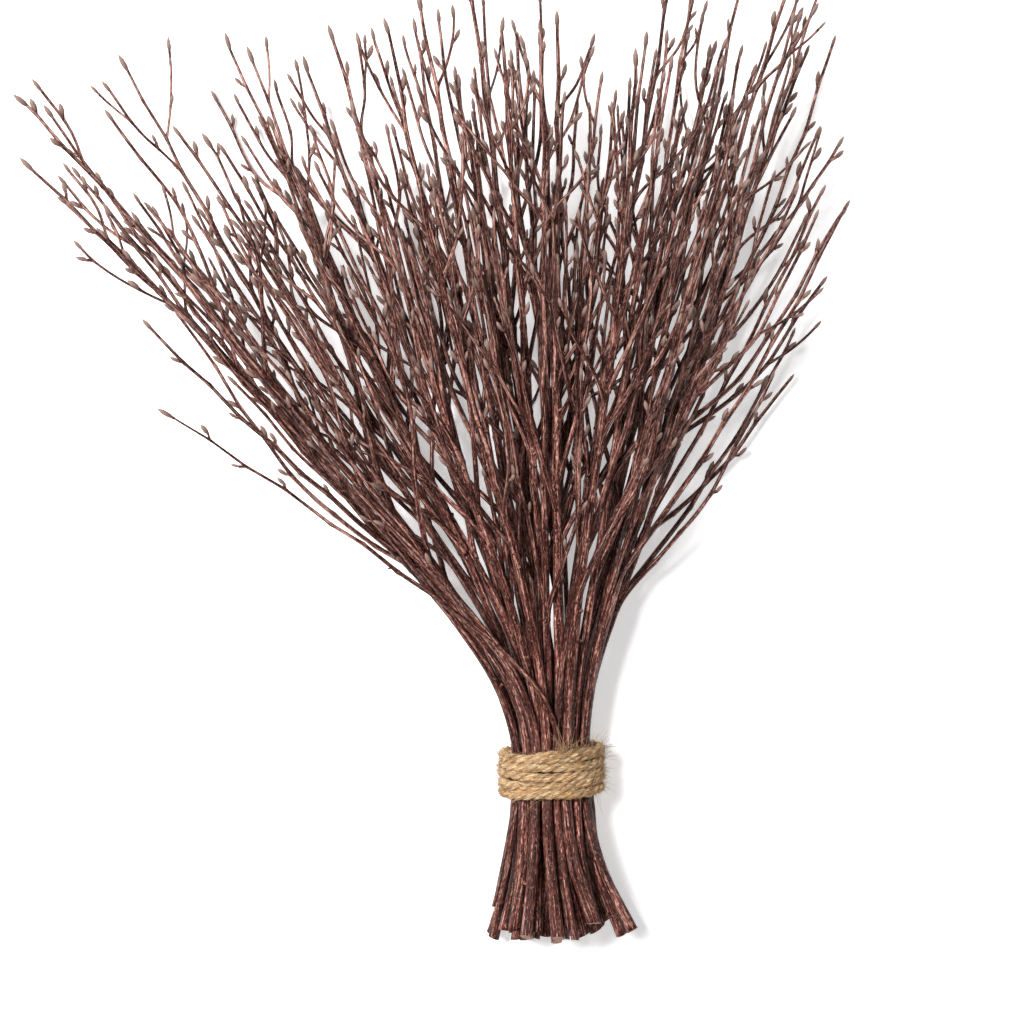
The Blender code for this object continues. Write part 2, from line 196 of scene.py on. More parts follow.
BARK, BUD, WOOD = 0, 1, 2  # places of the materials on a twig
PLIES = 3
PLY_FACES_ROUND = 10
PLY_END_RINGS = (6, 8)  # over which the plies thin out at the start and at the end
PLY_END_WIDTH = 0.25
PLY_REACH = 1.20  # how far out the plies reach, against the radius of the solid twine
TWINE_LIFT = 1.24  # lowest middle of the twine over the surface, against that radius
SIDE_BUD = (0.46, 0.74)  # length of side buds and of end buds, against the solids' end buds
END_BUD = (0.84, 1.04)
YOUNGER_BUD = 0.8  # end buds of a branch against those of its parent
SIDE_PLUMP = (1.15, 1.45)  # thickness of side buds and of end buds, against their length
END_PLUMP = (0.88, 1.06)
SPUR = (0.0003, 0.0019)
SPUR_ANGLE = (26.0, 46.0)
BUD_ANGLE = (8.0, 26.0)
BUD_SCATTER = 0.06
BUDS_FROM = (0.40, 0.38)  # age at which buds begin, and over which they get to be as many as they can
SPUR_BIAS = 1.6
SPUR_CLEAR = (0.8, 0.0004)  # where a spur begins: share of the branch's radius, and length
SPUR_WIDEST = 0.0007
SCALE_EDGES = (0.09, -0.07)  # how bud scales stand out and in, round the last rings
SCALE_RINGS = 4

STUB_ANGLE = (42.0, 70.0)
STUB_REACH = (0.0002, 0.0020)
STUB_THICKNESS = (0.26, 0.46)
STUB_FACES_ROUND = 8
STUB_SHARES = (0.25, 0.6, 0.93, 1.0, 1.02, 1.04)  # places of its rings and its end, and the rings' width
STUB_WIDTHS = (1.35, 1.12, 1.0, 0.94, 0.45)
BUTT_STUBS = (2, 0.3)  # at most this many below the twine, each with this chance
BUTT_STUB_ZONE = (0.006, 0.016)  # from the cut end, and from the middle of the twine
STEM_STUBS = 2
STEM_STUB_ZONE = (0.022, 0.150)

TWIGLETS_FROM = (0.45, 0.3)  # as for buds
TWIGLET_ROOM = 0.012
TWIGLET_LONGEST = 0.060
TWIGLET_LENGTH = (0.45, 0.95)
TWIGLET_LEAST = 0.006
TWIGLET_ANGLE = (20.0, 38.0)
TWIGLET_RETURN = (0.4, 0.85)
TWIGLET_RADIUS = (0.62, 0.00082)  # share of its parent's, and at most
TWIGLET_END = 0.9
TWIGLET_COLLAR = 0.6
TWIGLET_NODE = (0.009, 0.014)
TWIGLET_AGE = 0.6  # how much of the rest of the way to the youngest bark it goes
TWIGLET_RELIEF = 0.5
FINE_SHOOTS = 3  # thin shoots on an inner stem that the solids don't have, and on one that leans out
FEW_FINE_SHOOTS = 1
FINE_SHOOT_ZONE = (0.045, 0.170)  # where they leave it, from the middle of the twine
FINE_SHOOT_ANGLE = (9.0, 24.0)
FINE_SHOOT_LENGTH = (0.40, 0.92)
FINE_SHOOT_RADIUS = (0.00095, 0.00130)
FINE_SHOOT_RINGS = 64
FINE_SHOOT_RETURN = (0.25, 0.9)
FINE_SHOOT_NODE = (0.03, 0.05)
FINE_SHOOT_TAPER = 0.8
FINE_SHOOT_AGE = 0.95
FINE_SHOOT_FLAT = 0.7  # how much of their way out is up or down
FINE_SHOOT_RELIEF = 0.6
FINE_SHOOT_SHARE = 0.5  # of the small twigs that other branches bear
SOLID_SHOOT_TAPER = 0.75
SOLID_SHOOT_NODE = (0.012, 0.020)
SOLID_SHOOT_RELIEF = 0.7
SOLID_SHOOT_LEAVE = 0.55  # how much of its parent's heading a shoot has where it leaves
OUTER_LEAN = 0.40  # a stem that leans out further has few small twigs, and thin shoots on its inner side
OUTER_SHARE = 0.4

# The stage: half the floor's width, and places from the middle of the twine
FLOOR_HALF = 4.0
LIT_PLACE = (0.0, 0.08, 0.03)
KEY_PLACE, KEY_SIZE = (-0.80, 0.45, 1.8), 0.6
FILL_PLACE, FILL_SIZE = (0.4, -0.3, 2.0), 1.2
VIEW_PLACE = np.array([-0.015, 0.0975, 0.0])

# Tufts of longer fibres: X and Y from the middle of the twine, direction, number and greatest length
TUFTS = (
    (0.003, 0.0095, (0.25, 1.0, 0.35), 26, 0.012),
    (0.010, 0.0095, (-0.1, 1.0, 0.35), 26, 0.010),
    (0.010, -0.0100, (0.3, -1.0, 0.2), 14, 0.006),
    (-0.015, 0.0090, (-0.5, 0.8, 0.2), 10, 0.004),
)

# A bud on its spur, from the stem's middle: share of the spur or of the bud, and radius
SPUR_RINGS = ((0.0, 0.62), (0.55, 0.55), (1.0, 0.60))
BUD_PROFILE = (
    (0.06, 0.66), (0.20, 0.92), (0.37, 1.00), (0.52, 0.86), (0.60, 0.90), (0.78, 0.60), (0.92, 0.28),
)


# ---- Drawing the centre lines ------------------------------------------------------------------
def unit(v):
    """Each vector divided by its length."""
    return v / np.maximum(np.linalg.norm(v, axis=-1, keepdims=True), 1e-12)


def smooth(t):
    """0 below 0, 1 above 1, and a smooth step between."""
    t = np.clip(t, 0.0, 1.0)
    return t * t * (3.0 - 2.0 * t)


def blend(a, b, share):
    """The value between a and b at each share."""
    return a + (b - a) * share


def path_length(points):
    """Length of a line from its start to each of its points."""
    return np.concatenate([[0.0], np.cumsum(np.linalg.norm(np.diff(points, axis=0), axis=-1))])


def nearest(p, q, a, b):
    """The closest approach of segments p-q and a-b: the share along each, and the vector between."""
    d1, d2, r = q - p, b - a, p - a
    aa, ee = np.sum(d1 * d1, -1), np.sum(d2 * d2, -1)
    bb, cc, ff = np.sum(d1 * d2, -1), np.sum(d1 * r, -1), np.sum(d2 * r, -1)
    denominator = np.maximum(aa * ee - bb * bb, 1e-18)
    s = np.clip((bb * ff - cc * ee) / denominator, 0.0, 1.0)
    t = np.clip((bb * s + ff) / ee, 0.0, 1.0)
    s = np.clip((bb * t - cc) / aa, 0.0, 1.0)
    between = (p + s[..., None] * d1) - (a + t[..., None] * d2)
    return s, t, between


def stations(length, butt):
    """Where along a stem its points stand, from the cut end to the tip, 0 at the middle of the twine."""
    share = np.arange(POINTS_BEYOND) / (POINTS_BEYOND - 1)
    beyond = WRAP_EDGE + (length - WRAP_EDGE) * share ** POINT_CROWDING
    return np.concatenate([[-butt, -BUTT_MIDDLE * butt, -WRAP_EDGE], beyond])


def stem_line(place, side, climb, length, butt, curl, rng):
    """One stem's centre line: straight through the twine, and bent to its own direction beyond it."""
    across, up = place
    fine = np.linspace(-butt, length, FINE_STEPS)
    past = fine - COIL_LENGTH / 2
    turned = blend(smooth(past / WHOLE_BEND), smooth(past / FIRST_BEND), FIRST_SHARE)
    curled = 1.0 + curl * smooth((fine - CURL_START * length) / (CURL_LENGTH * length))
    phase = rng.uniform(0, 2 * math.pi, 2)
    sway = rng.uniform(*SWAY_SHARE, 2) * math.radians(SWAY)
    wander = sway[:, None] * np.sin(fine / length * 2 * math.pi + phase[:, None]) * turned
    splayed = smooth((-fine - BUTT_BEND_START) / BUTT_BEND_LENGTH)
    butt_side = BUTT_SPLAY * across - BUTT_LEAN * math.radians(LEAN) + rng.normal(0, BUTT_SCATTER[0])
    butt_climb = BUTT_CLIMB * up + rng.normal(0, BUTT_SCATTER[1])
    sideways = math.radians(side) * turned * curled + wander[0] - splayed * butt_side
    climbing = math.radians(climb) * turned + wander[1] - splayed * butt_climb
    heading = np.stack([
        np.sin(sideways) * np.cos(climbing),
        np.cos(sideways) * np.cos(climbing),
        np.sin(climbing),
    ], -1)
    step = np.diff(fine)[:, None] * (heading[1:] + heading[:-1]) / 2
    line = np.concatenate([np.zeros((1, 3)), np.cumsum(step, 0)])
    middle = np.array([np.interp(0.0, fine, line[:, k]) for k in range(3)])
    start = np.array([
        across * (WAIST_HALF_WIDTH - BUTT_RADIUS),
        0.0,
        WAIST_HEIGHT + up * (WAIST_HALF_DEPTH - BUTT_RADIUS),
    ])
    line = line - middle + start
    return np.stack([np.interp(stations(length, butt), fine, line[:, k]) for k in range(3)], -1)


def with_end_bud(points, radii):
    """A stem's line carried on into its end bud: a swelling and then a point."""
    heading = unit(points[-1] - points[-2])
    swell = points[-1] + heading * BUD_LENGTH * BUD_SWELL
    tip = points[-1] + heading * BUD_LENGTH
    return np.vstack([points, swell, tip]), np.concatenate([radii, [BUD_RADIUS, 0.0]])


def draw_stems(rng):
    """Centre lines and radii of all stems, placed evenly across the waist as seeds are in a sunflower."""
    lines, radii = [], []
    for i in range(TWIG_COUNT):
        reach = math.sqrt((i + 0.5) / TWIG_COUNT)
        place = (reach * math.cos(i * GOLDEN_ANGLE), reach * math.sin(i * GOLDEN_ANGLE))
        spread = LEFT_SPREAD if place[0] < 0 else RIGHT_SPREAD
        side = LEAN + spread * place[0] + rng.normal(0, SIDE_SCATTER)
        climb = max(RISE + RISE_SPREAD * place[1] + rng.normal(0, RISE_SCATTER), LOWEST_CLIMB)
        length = TIP_REACH * rng.uniform(*TIP_UNEVEN)
        butt = BUTT_REACH + rng.uniform(*BUTT_UNEVEN)
        curl = CURL
        if i in STRAYS:
            side, climb, length, curl = STRAYS[i]
        if place[0] < -OUTERMOST:
            butt = SHORT_BUTT
        line = stem_line(place, side, climb, length, butt, curl, rng)
        share = (stations(length, butt) + butt) / (length + butt)
        radius = rng.uniform(*THICKNESS) * blend(BUTT_RADIUS, TIP_RADIUS, share)
        if i == BARE_TWIG:
            radius = radius * BARE_THICKNESS
        line, radius = with_end_bud(line, radius)
        lines.append(line)
        radii.append(radius)
    return np.array(lines), np.array(radii)


def hold_in_place(lines, radii):
    """Keeps the two points at the twine's edges inside its oval, and everything above the surface."""
    oval = np.array([WAIST_HALF_WIDTH, WAIST_HALF_DEPTH])
    middle = np.array([0.0, WAIST_HEIGHT])
    for ring in (2, 3):
        offset = lines[:, ring][:, [0, 2]] - middle
        outside = np.linalg.norm(offset / (oval - radii[:, ring, None]), axis=-1)
        held = middle + offset / np.maximum(outside, 1.0)[:, None]
        lines[:, ring, 0] = held[:, 0]
        lines[:, ring, 2] = held[:, 1]
    lines[:, :, 2] = np.maximum(lines[:, :, 2], radii + GAP / 10)


def close_pairs(lines):
    """The ends of every two segments of different stems that are near enough to meet."""
    count, rings = lines.shape[:2]
    owner = np.repeat(np.arange(count), rings - 1)
    ring = np.tile(np.arange(rings - 1), count)
    a, b = lines[owner, ring], lines[owner, ring + 1]
    middle, half = (a + b) / 2, np.linalg.norm(b - a, axis=-1) / 2
    first, second = np.triu_indices(len(owner), 1)
    apart = np.linalg.norm(middle[first] - middle[second], axis=-1)
    near = (apart < half[first] + half[second] + LOOK_AROUND) & (owner[first] != owner[second])
    return [(owner[k], ring[k] + end) for k in (first[near], second[near]) for end in (0, 1)]


def ease_apart(lines, radii):
    """Pushes stems that overlap away from each other, and lets each push spread smoothly along its stem."""
    drawn = lines.copy()
    for turn in range(ROUNDS):
        if turn % LOOK_AGAIN == 0:
            ends = close_pairs(lines)
        s, t, between = nearest(*(lines[end] for end in ends))
        rp, rq, ra, rb = (radii[end] for end in ends)
        wanted = blend(rp, rq, s) + blend(ra, rb, t) + GAP * GAP_MARGIN
        lacking = np.maximum(wanted - np.linalg.norm(between, axis=-1), 0.0)
        push = lacking[:, None] * unit(between) / 2
        moved, weight = np.zeros_like(lines), np.zeros(lines.shape[:2])
        for end, share, sign in zip(ends, (1 - s, s, 1 - t, t), (1, 1, -1, -1)):
            np.add.at(moved, end, sign * share[:, None] * push)
            np.add.at(weight, end, share * (lacking > 0))
        lines += moved / np.maximum(weight, 1.0)[..., None] * PUSH
        if turn < EVEN_ROUNDS:
            shift = lines - drawn
            evened = shift.copy()
            evened[:, 1:-1] = shift[:, 1:-1] / 2 + (shift[:, 2:] + shift[:, :-2]) / 4
            lines += (evened - shift) * EVENING
        hold_in_place(lines, radii)
    return lines


def segments(points, radii):
    """A line cut into its segments, with the radius at both ends of each."""
    return np.stack([points[:-1], points[1:]], 1), np.stack([radii[:-1], radii[1:]], 1)


def clearance(points, radii, rivals, rival_radii):
    """The smallest gap between one tapering line and all the rival segments."""
    least = math.inf
    for k in range(len(points) - 1):
        p = np.broadcast_to(points[k], rivals[:, 0].shape)
        q = np.broadcast_to(points[k + 1], rivals[:, 0].shape)
        s, t, between = nearest(p, q, rivals[:, 0], rivals[:, 1])
        thick = blend(radii[k], radii[k + 1], s) + blend(rival_radii[:, 0], rival_radii[:, 1], t)
        least = min(least, float(np.min(np.linalg.norm(between, axis=-1) - thick)))
    return least


def try_shoot(line, radii, rng, number):
    """One side shoot drawn at random: it leaves at an angle, bends back a little and ends in a bud."""
    line, radii = line[:BUD_RINGS], radii[:BUD_RINGS]
    lengths = path_length(line)
    at = lengths[-1] * blend(*SHOOT_ZONE, (number + rng.uniform(0, 1)) / SHOOTS_PER_TWIG)
    base = np.array([np.interp(at, lengths, line[:, k]) for k in range(3)])
    ring = int(np.searchsorted(lengths, at)) - 1
    heading = unit(line[ring + 1] - line[ring])
    level = unit(np.cross(heading, UPRIGHT))
    upward = np.cross(level, heading)
    roll = rng.normal(0, SHOOT_ROLL) + (math.pi if (number + rng.integers(0, 2)) % 2 else 0.0)
    out = level * math.cos(roll) + upward * math.sin(roll)
    angle = math.radians(rng.uniform(*SHOOT_ANGLE))
    length = (lengths[-1] - at) * rng.uniform(*SHOOT_LENGTH) + SHOOT_LEAST
    later = angle * rng.uniform(*SHOOT_RETURN)
    inner = heading * math.cos(angle) + out * math.sin(angle)
    outer = heading * math.cos(later) + out * math.sin(later)
    elbow = base + inner * length * SHOOT_ELBOW
    swell = elbow + outer * length * (1.0 - SHOOT_ELBOW)
    tip = swell + outer * BUD_LENGTH * (1.0 - BUD_SWELL)
    start = min(SHOOT_TAPER * float(np.interp(at, lengths, radii)), SHOOT_RADIUS)
    thin = (start + TIP_RADIUS) / 2
    return np.array([base, elbow, swell, tip]), np.array([start, thin, SHOOT_END_RADIUS, 0.0])


def grow_shoots(lines, radii, rng):
    """Side shoots for every stem. One that would touch another twig or the surface is drawn again."""
    parts = [segments(line, radius) for line, radius in zip(lines, radii)]
    owner = np.concatenate([np.full(len(part[0]), i) for i, part in enumerate(parts)])
    space = np.concatenate([part[0] for part in parts])
    space_radii = np.concatenate([part[1] for part in parts])
    shoots = [[] for _ in lines]
    for number in range(SHOOTS_PER_TWIG):
        for i in range(len(lines)):
            if i == BARE_TWIG:
                continue
            others = owner != i
            for _ in range(SHOOT_TRIES):
                line, radius = try_shoot(lines[i], radii[i], rng, number)
                reach = line[-1] - line[0]
                if abs(reach[0]) > reach[1] * math.tan(math.radians(SHOOT_WIDEST)):
                    continue
                if np.min(line[:, 2] - radius) < GAP / 10:
                    continue
                if clearance(line, radius, space[others], space_radii[others]) < GAP:
                    continue
                if any(clearance(line, radius, *segments(*shoot)) < GAP for shoot in shoots[i]):
                    continue
                pieces, piece_radii = segments(line, radius)
                owner = np.concatenate([owner, np.full(len(pieces), i)])
                space = np.concatenate([space, pieces])
                space_radii = np.concatenate([space_radii, piece_radii])
                shoots[i].append((line, radius))
                break
    return shoots


def coil_angle_and_place():
    """Angle and place along the bundle of the points that the solid twine's centre line runs through."""
    steps = TWINE_TURNS * STEPS_PER_TURN
    angle = (np.arange(steps + 1) + 0.5) * 2 * math.pi / STEPS_PER_TURN - math.pi / 2
    return angle, np.linspace(-COIL_LENGTH / 2, COIL_LENGTH / 2, steps + 1)


def bundle_shift():
    """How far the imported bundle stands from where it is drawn, read from the box of its twine."""
    angle, along = coil_angle_and_place()
    centre = along - WRAP_TILT * np.sin(angle)
    low, high = (np.array(corner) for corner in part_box("twine_wrap"))
    middle = (low + high) / 2
    return np.array([middle[0], middle[1] - (centre.min() + centre.max()) / 2, 0.0])


def check_fit(name, lines, radii):
    """Stops the script if a twig's solid isn't where its centre lines say."""
    low = np.min([np.min(line - radius[:, None], 0) for line, radius in zip(lines, radii)], 0)
    high = np.max([np.max(line + radius[:, None], 0) for line, radius in zip(lines, radii)], 0)
    solid_low, solid_high = (np.array(corner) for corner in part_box(name))
    apart = max(np.abs(low - solid_low).max(), np.abs(high - solid_high).max())
    if apart > FIT:
        raise RuntimeError(f"{name} is {apart * 1000:.2f} mm from its solid")


def draw_bundle():
    """Stems, side shoots and slants of the cut ends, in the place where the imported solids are."""
    rng = np.random.default_rng(SEED)
    lines, radii = draw_stems(rng)
    lines = ease_apart(lines, radii)
    shoots = grow_shoots(lines, radii, rng)
    cuts = rng.uniform(-CUT_SLANT, CUT_SLANT, (TWIG_COUNT, 2))
    shift = bundle_shift()
    lines = lines + shift
    shoots = [[(line + shift, radius) for line, radius in own] for own in shoots]
    for i in range(TWIG_COUNT):
        own = [(lines[i], radii[i])] + shoots[i]
        check_fit(f"twig_{i + 1:02d}", [line for line, _ in own], [radius for _, radius in own])
    return lines, radii, shoots, cuts


# ---- Lines and skins ---------------------------------------------------------------------------
def spline(points, count, first_slope=None):
    """A smooth line through the points, read at equal steps. Between two points it is the cubic that
    has at both the mean slope of the neighbours."""
    along = path_length(points)
    slope = np.gradient(points, along, axis=0)
    if first_slope is not None:
        slope[0] = first_slope
    s = np.linspace(0, along[-1], count)
    k = np.clip(np.searchsorted(along, s, side="right") - 1, 0, len(points) - 2)
    h = (along[k + 1] - along[k])[:, None]
    t = (s - along[k])[:, None] / h
    return (
        (1 + 2 * t) * (1 - t) ** 2 * points[k]
        + t * (1 - t) ** 2 * h * slope[k]
        + t * t * (3 - 2 * t) * points[k + 1]
        + t * t * (t - 1) * h * slope[k + 1]
    )


def frames(lines, axis=None):
    """Tangent, and two crosswise vectors, at each point of each line. The first is square to an axis:
    the given one, or for each line the one of X, Y and Z that the line follows least."""
    tangent = unit(np.gradient(lines, axis=-2))
    if axis is None:
        axis = np.eye(3)[np.argmin(np.abs(lines[..., -1, :] - lines[..., 0, :]), axis=-1)][..., None, :]
    side = unit(np.cross(tangent, axis))
    return tangent, side, np.cross(tangent, side)


class Skin:
    """The surface of one piece: corners, faces, and what the materials need to know at each corner."""

    def __init__(self):
        self.corners, self.places, self.growths = [], [], []
        self.quads, self.quad_kinds, self.triangles, self.triangle_kinds = [], [], [], []
        self.count = 0

    def add_tubes(self, lines, radii, faces_round, growth, kinds, start=0.0, relief=1.0, cut=None, axis=None):
        """Adds closed tubes of equally many rings. Ring k is the circle of radii[k] about point k of its
        line, square to the line, times the relief; the last point is a tip. A cut slants the first two
        rings. A corner's place is (radius x cos, radius x sin, length along the tube); growth is three
        numbers for each ring, and kinds is a material for each strip between rings and for both ends."""
        count, rings = radii.shape
        lines = lines.copy()
        lines[:, :-1, 2] = np.maximum(lines[:, :-1, 2], radii * LIFT)
        lines[:, -1, 2] = np.maximum(lines[:, -1, 2], 2 * LEAST_HEIGHT)
        tangent, side, up = frames(lines, axis)
        turn = np.arange(faces_round) * 2 * np.pi / faces_round
        cosine, sine = np.cos(turn), np.sin(turn)
        circle = side[:, :-1, None] * cosine[:, None] + up[:, :-1, None] * sine[:, None]
        ring = lines[:, :-1, None] + circle * (radii[..., None] * relief)[..., None]
        if cut is not None:
            slant = (cut[0] * cosine + cut[1] * sine) * radii[:, :2, None]
            ring[:, :2] += tangent[:, :2, None] * slant[..., None]
        ring[..., 2] = np.maximum(ring[..., 2], LEAST_HEIGHT)
        gone = np.cumsum(np.linalg.norm(np.diff(lines, axis=1), axis=-1), 1)
        gone = np.concatenate([np.zeros((count, 1)), gone], 1) + np.reshape(start, (-1, 1))
        place = np.zeros(ring.shape)
        place[..., 0] = radii[..., None] * cosine
        place[..., 1] = radii[..., None] * sine
        place[..., 2] = gone[:, :-1, None]
        ends = np.zeros((count, 2, 3))
        ends[:, 0, 2] = gone[:, 0]
        ends[:, 1, 2] = gone[:, -1]
        growth = np.broadcast_to(growth, (count, rings, 3))
        growths = np.repeat(growth[:, :, None], faces_round, 2).reshape(count, -1, 3)
        corners = np.concatenate([ring.reshape(count, -1, 3), lines[:, :1], lines[:, -1:]], 1)
        places = np.concatenate([place.reshape(count, -1, 3), ends], 1)
        growths = np.concatenate([growths, growth[:, :1], growth[:, -1:]], 1)
        base = self.count + np.arange(count)[:, None, None, None] * corners.shape[1]
        row = np.arange(rings - 1)[:, None] * faces_round
        j = np.arange(faces_round)
        following = (j + 1) % faces_round
        quad = np.stack([row + j, row + following, row + following + faces_round, row + j + faces_round], -1)
        first_end = np.stack([np.full_like(j, rings * faces_round), following, j], -1)
        last = (rings - 1) * faces_round
        last_end = np.stack([last + j, last + following, np.full_like(j, rings * faces_round + 1)], -1)
        self.quads.append((base + quad).reshape(-1, 4))
        self.quad_kinds.append(np.tile(np.repeat(kinds[1:-1], faces_round), count))
        both_ends = np.stack([first_end, last_end]).reshape(1, -1, 3)
        self.triangles.append((base[:, 0] + both_ends).reshape(-1, 3))
        self.triangle_kinds.append(np.tile(np.repeat([kinds[0], kinds[-1]], faces_round), count))
        for store, values in ((self.corners, corners), (self.places, places), (self.growths, growths)):
            store.append(values.reshape(-1, 3))
        self.count += corners.shape[0] * corners.shape[1]

    def to_object(self, name, materials):
        """A smooth-shaded mesh object of everything added, at the origin."""
        corners = np.concatenate(self.corners)
        quads, triangles = np.concatenate(self.quads), np.concatenate(self.triangles)
        starts = np.concatenate([
            np.arange(len(quads)) * 4,
            len(quads) * 4 + np.arange(len(triangles)) * 3,
        ])
        mesh = bpy.data.meshes.new(name)
        mesh.vertices.add(len(corners))
        mesh.vertices.foreach_set("co", corners.astype(np.float32).ravel())
        mesh.loops.add(quads.size + triangles.size)
        used = np.concatenate([quads.ravel(), triangles.ravel()])
        mesh.loops.foreach_set("vertex_index", used.astype(np.int32))
        mesh.polygons.add(len(starts))
        mesh.polygons.foreach_set("loop_start", starts.astype(np.int32))
        kinds = np.concatenate(self.quad_kinds + self.triangle_kinds).astype(np.int32)
        mesh.polygons.foreach_set("material_index", kinds)
        mesh.polygons.foreach_set("use_smooth", np.ones(len(starts), bool))
        mesh.update(calc_edges=True)
        for label, values in (("grain_place", self.places), ("growth", self.growths)):
            attribute = mesh.attributes.new(label, "FLOAT_VECTOR", "POINT")
            attribute.data.foreach_set("vector", np.concatenate(values).astype(np.float32).ravel())
        for material in materials:
            mesh.materials.append(material)
        if mesh.validate():
            raise RuntimeError(f"{name} has faces that aren't sound")
        obj = bpy.data.objects.new(name, mesh)
        bpy.context.scene.collection.objects.link(obj)
        return obj


# ---- Fine twigs --------------------------------------------------------------------------------
def with_nodes(line, radii, first, zigzag, rng):
    """A branch given its nodes: from node to node its line swings from one side to the other, by the
    zigzag times a share that grows as the branch thins, and at each node it swells as a bell curve."""
    along = path_length(line)
    room = int((along[-1] - first) / NODE_SPACING[0])
    at = first + np.cumsum(rng.uniform(*NODE_SPACING, max(room, 1))) - NODE_SPACING[0]
    at = at[at < along[-1] - TIP_CLEAR]
    if len(at) == 0:
        return line, radii, np.zeros(0, int), np.zeros((0, 3))
    node = np.searchsorted(along, at)
    _, side, up = frames(line, UPRIGHT)
    roll = rng.normal(0, NODE_ROLL[0]) + rng.normal(0, NODE_ROLL[1], len(at)) + np.pi * (np.arange(len(at)) % 2)
    out = side[node] * np.cos(roll)[:, None] + up[node] * np.sin(roll)[:, None]
    thin = np.clip(SWING_SHARE[0] - radii[node] / SWING_SHARE[1], SWING_SHARE[2], 1.0)
    swing = out * (zigzag * thin)[:, None]
    stops = np.concatenate([[max(first - SWING_START, 0.0)], along[node], [along[-1]]])
    swing = np.vstack([np.zeros(3), swing, np.zeros(3)])
    line = line + np.stack([np.interp(along, stops, swing[:, k]) for k in range(3)], -1)
    off = np.min(np.abs(along[:, None] - along[node]), 1)
    return line, radii * (1 + NODE_SWELL * np.exp(-((off / NODE_WIDTH) ** 2))), node, out


def bark_relief(radii, faces_round, rng, strength=1.0):
    """How far bark stands out from a round branch: the sum of two, three and five ridges round it that
    drift as they run along it, and a slight unevenness from ring to ring."""
    rings = len(radii)
    turn = np.arange(faces_round) * 2 * np.pi / faces_round
    drift = np.cumsum(rng.normal(0, BARK_DRIFT, (len(BARK_WAVES), rings)), 1)
    drift += rng.uniform(0, 2 * np.pi, (len(BARK_WAVES), 1))
    waves = sum(
        height * np.sin(ridges * turn + drift[k][:, None])
        for k, (ridges, height) in enumerate(BARK_WAVES)
    )
    rough = rng.normal(0, BARK_ROUGH, (rings, faces_round))
    return 1 + strength * (waves + rough)


def growth_along(first, last, rings, ripe, tone):
    """The three numbers for each ring: age from the cut end to the tips, share of a bud, tone of bark."""
    return np.stack([np.linspace(first, last, rings), np.full(rings, ripe), np.full(rings, tone)], -1)


def add_branch(skin, line, radii, faces_round, age, tone, rng, relief=1.0):
    """Adds a branch: a tube whose first end hides inside its parent and whose tip hides in a bud."""
    rings = len(radii) - 1
    skin.add_tubes(
        line[None],
        radii[None, :-1],
        faces_round,
        growth_along(*age, rings, 0.0, tone),
        np.zeros(rings + 1, int),
        start=rng.uniform(0, 3),
        relief=bark_relief(radii[:-1], faces_round, rng, relief),
    )


def add_buds(skin, root, heading, out, clear, age, size, spur, faces_round, tone, rng):
    """Adds buds on their spurs. A spur leaves the branch at an angle, and its bud bends back from that
    towards the branch's heading. Radii follow the profile at the top of this file."""
    count = len(root)
    if count == 0:
        return
    steep = np.radians(rng.uniform(*SPUR_ANGLE, count))[:, None] * (spur[:, None] > 0)
    bent = np.radians(rng.uniform(*BUD_ANGLE, count))[:, None] * (spur[:, None] > 0)
    spur_way = heading * np.cos(steep) + out * np.sin(steep)
    bud_way = unit(heading * np.cos(bent) + out * np.sin(bent) + rng.normal(0, BUD_SCATTER, (count, 3)))
    spur_share, spur_radius = np.array(SPUR_RINGS).T
    bud_share, bud_radius = np.array(BUD_PROFILE).T
    length = size * BUD_LENGTH
    reach = clear * SPUR_CLEAR[0] + spur + SPUR_CLEAR[1]
    spur_end = root + spur_way * reach[:, None]
    spur_points = root[:, None] + spur_way[:, None] * (reach[:, None] * spur_share)[..., None]
    bud_points = spur_end[:, None] + bud_way[:, None] * (length[:, None] * bud_share)[..., None]
    tip = spur_end[:, None] + bud_way[:, None] * length[:, None, None]
    side_plump, end_plump = rng.uniform(*SIDE_PLUMP, count), rng.uniform(*END_PLUMP, count)
    plump = size * BUD_RADIUS * np.where(spur > 0, side_plump, end_plump)
    spur_radii = np.minimum(clear, SPUR_WIDEST)[:, None] * spur_radius / spur_radius[0]
    radii = np.concatenate([spur_radii, plump[:, None] * bud_radius], 1)
    rings = radii.shape[1]
    ripe = np.concatenate([np.zeros(len(SPUR_RINGS)), bud_share])
    growth = np.stack([
        np.broadcast_to(age[:, None], (count, rings)),
        np.broadcast_to(ripe, (count, rings)),
        np.broadcast_to(tone + rng.normal(0, 0.15, (count, 1)), (count, rings)),
    ], -1)
    scales = np.ones((count, rings, faces_round))
    scales[:, -SCALE_RINGS:, ::2] += SCALE_EDGES[0]
    scales[:, -SCALE_RINGS:, 1::2] += SCALE_EDGES[1]
    kinds = np.array([BARK] * len(SPUR_RINGS) + [BUD] * (rings - len(SPUR_RINGS) + 1))
    skin.add_tubes(
        np.concatenate([spur_points, bud_points, tip], 1),
        radii,
        faces_round,
        growth,
        kinds,
        start=rng.uniform(0, 3, count),
        relief=scales,
    )


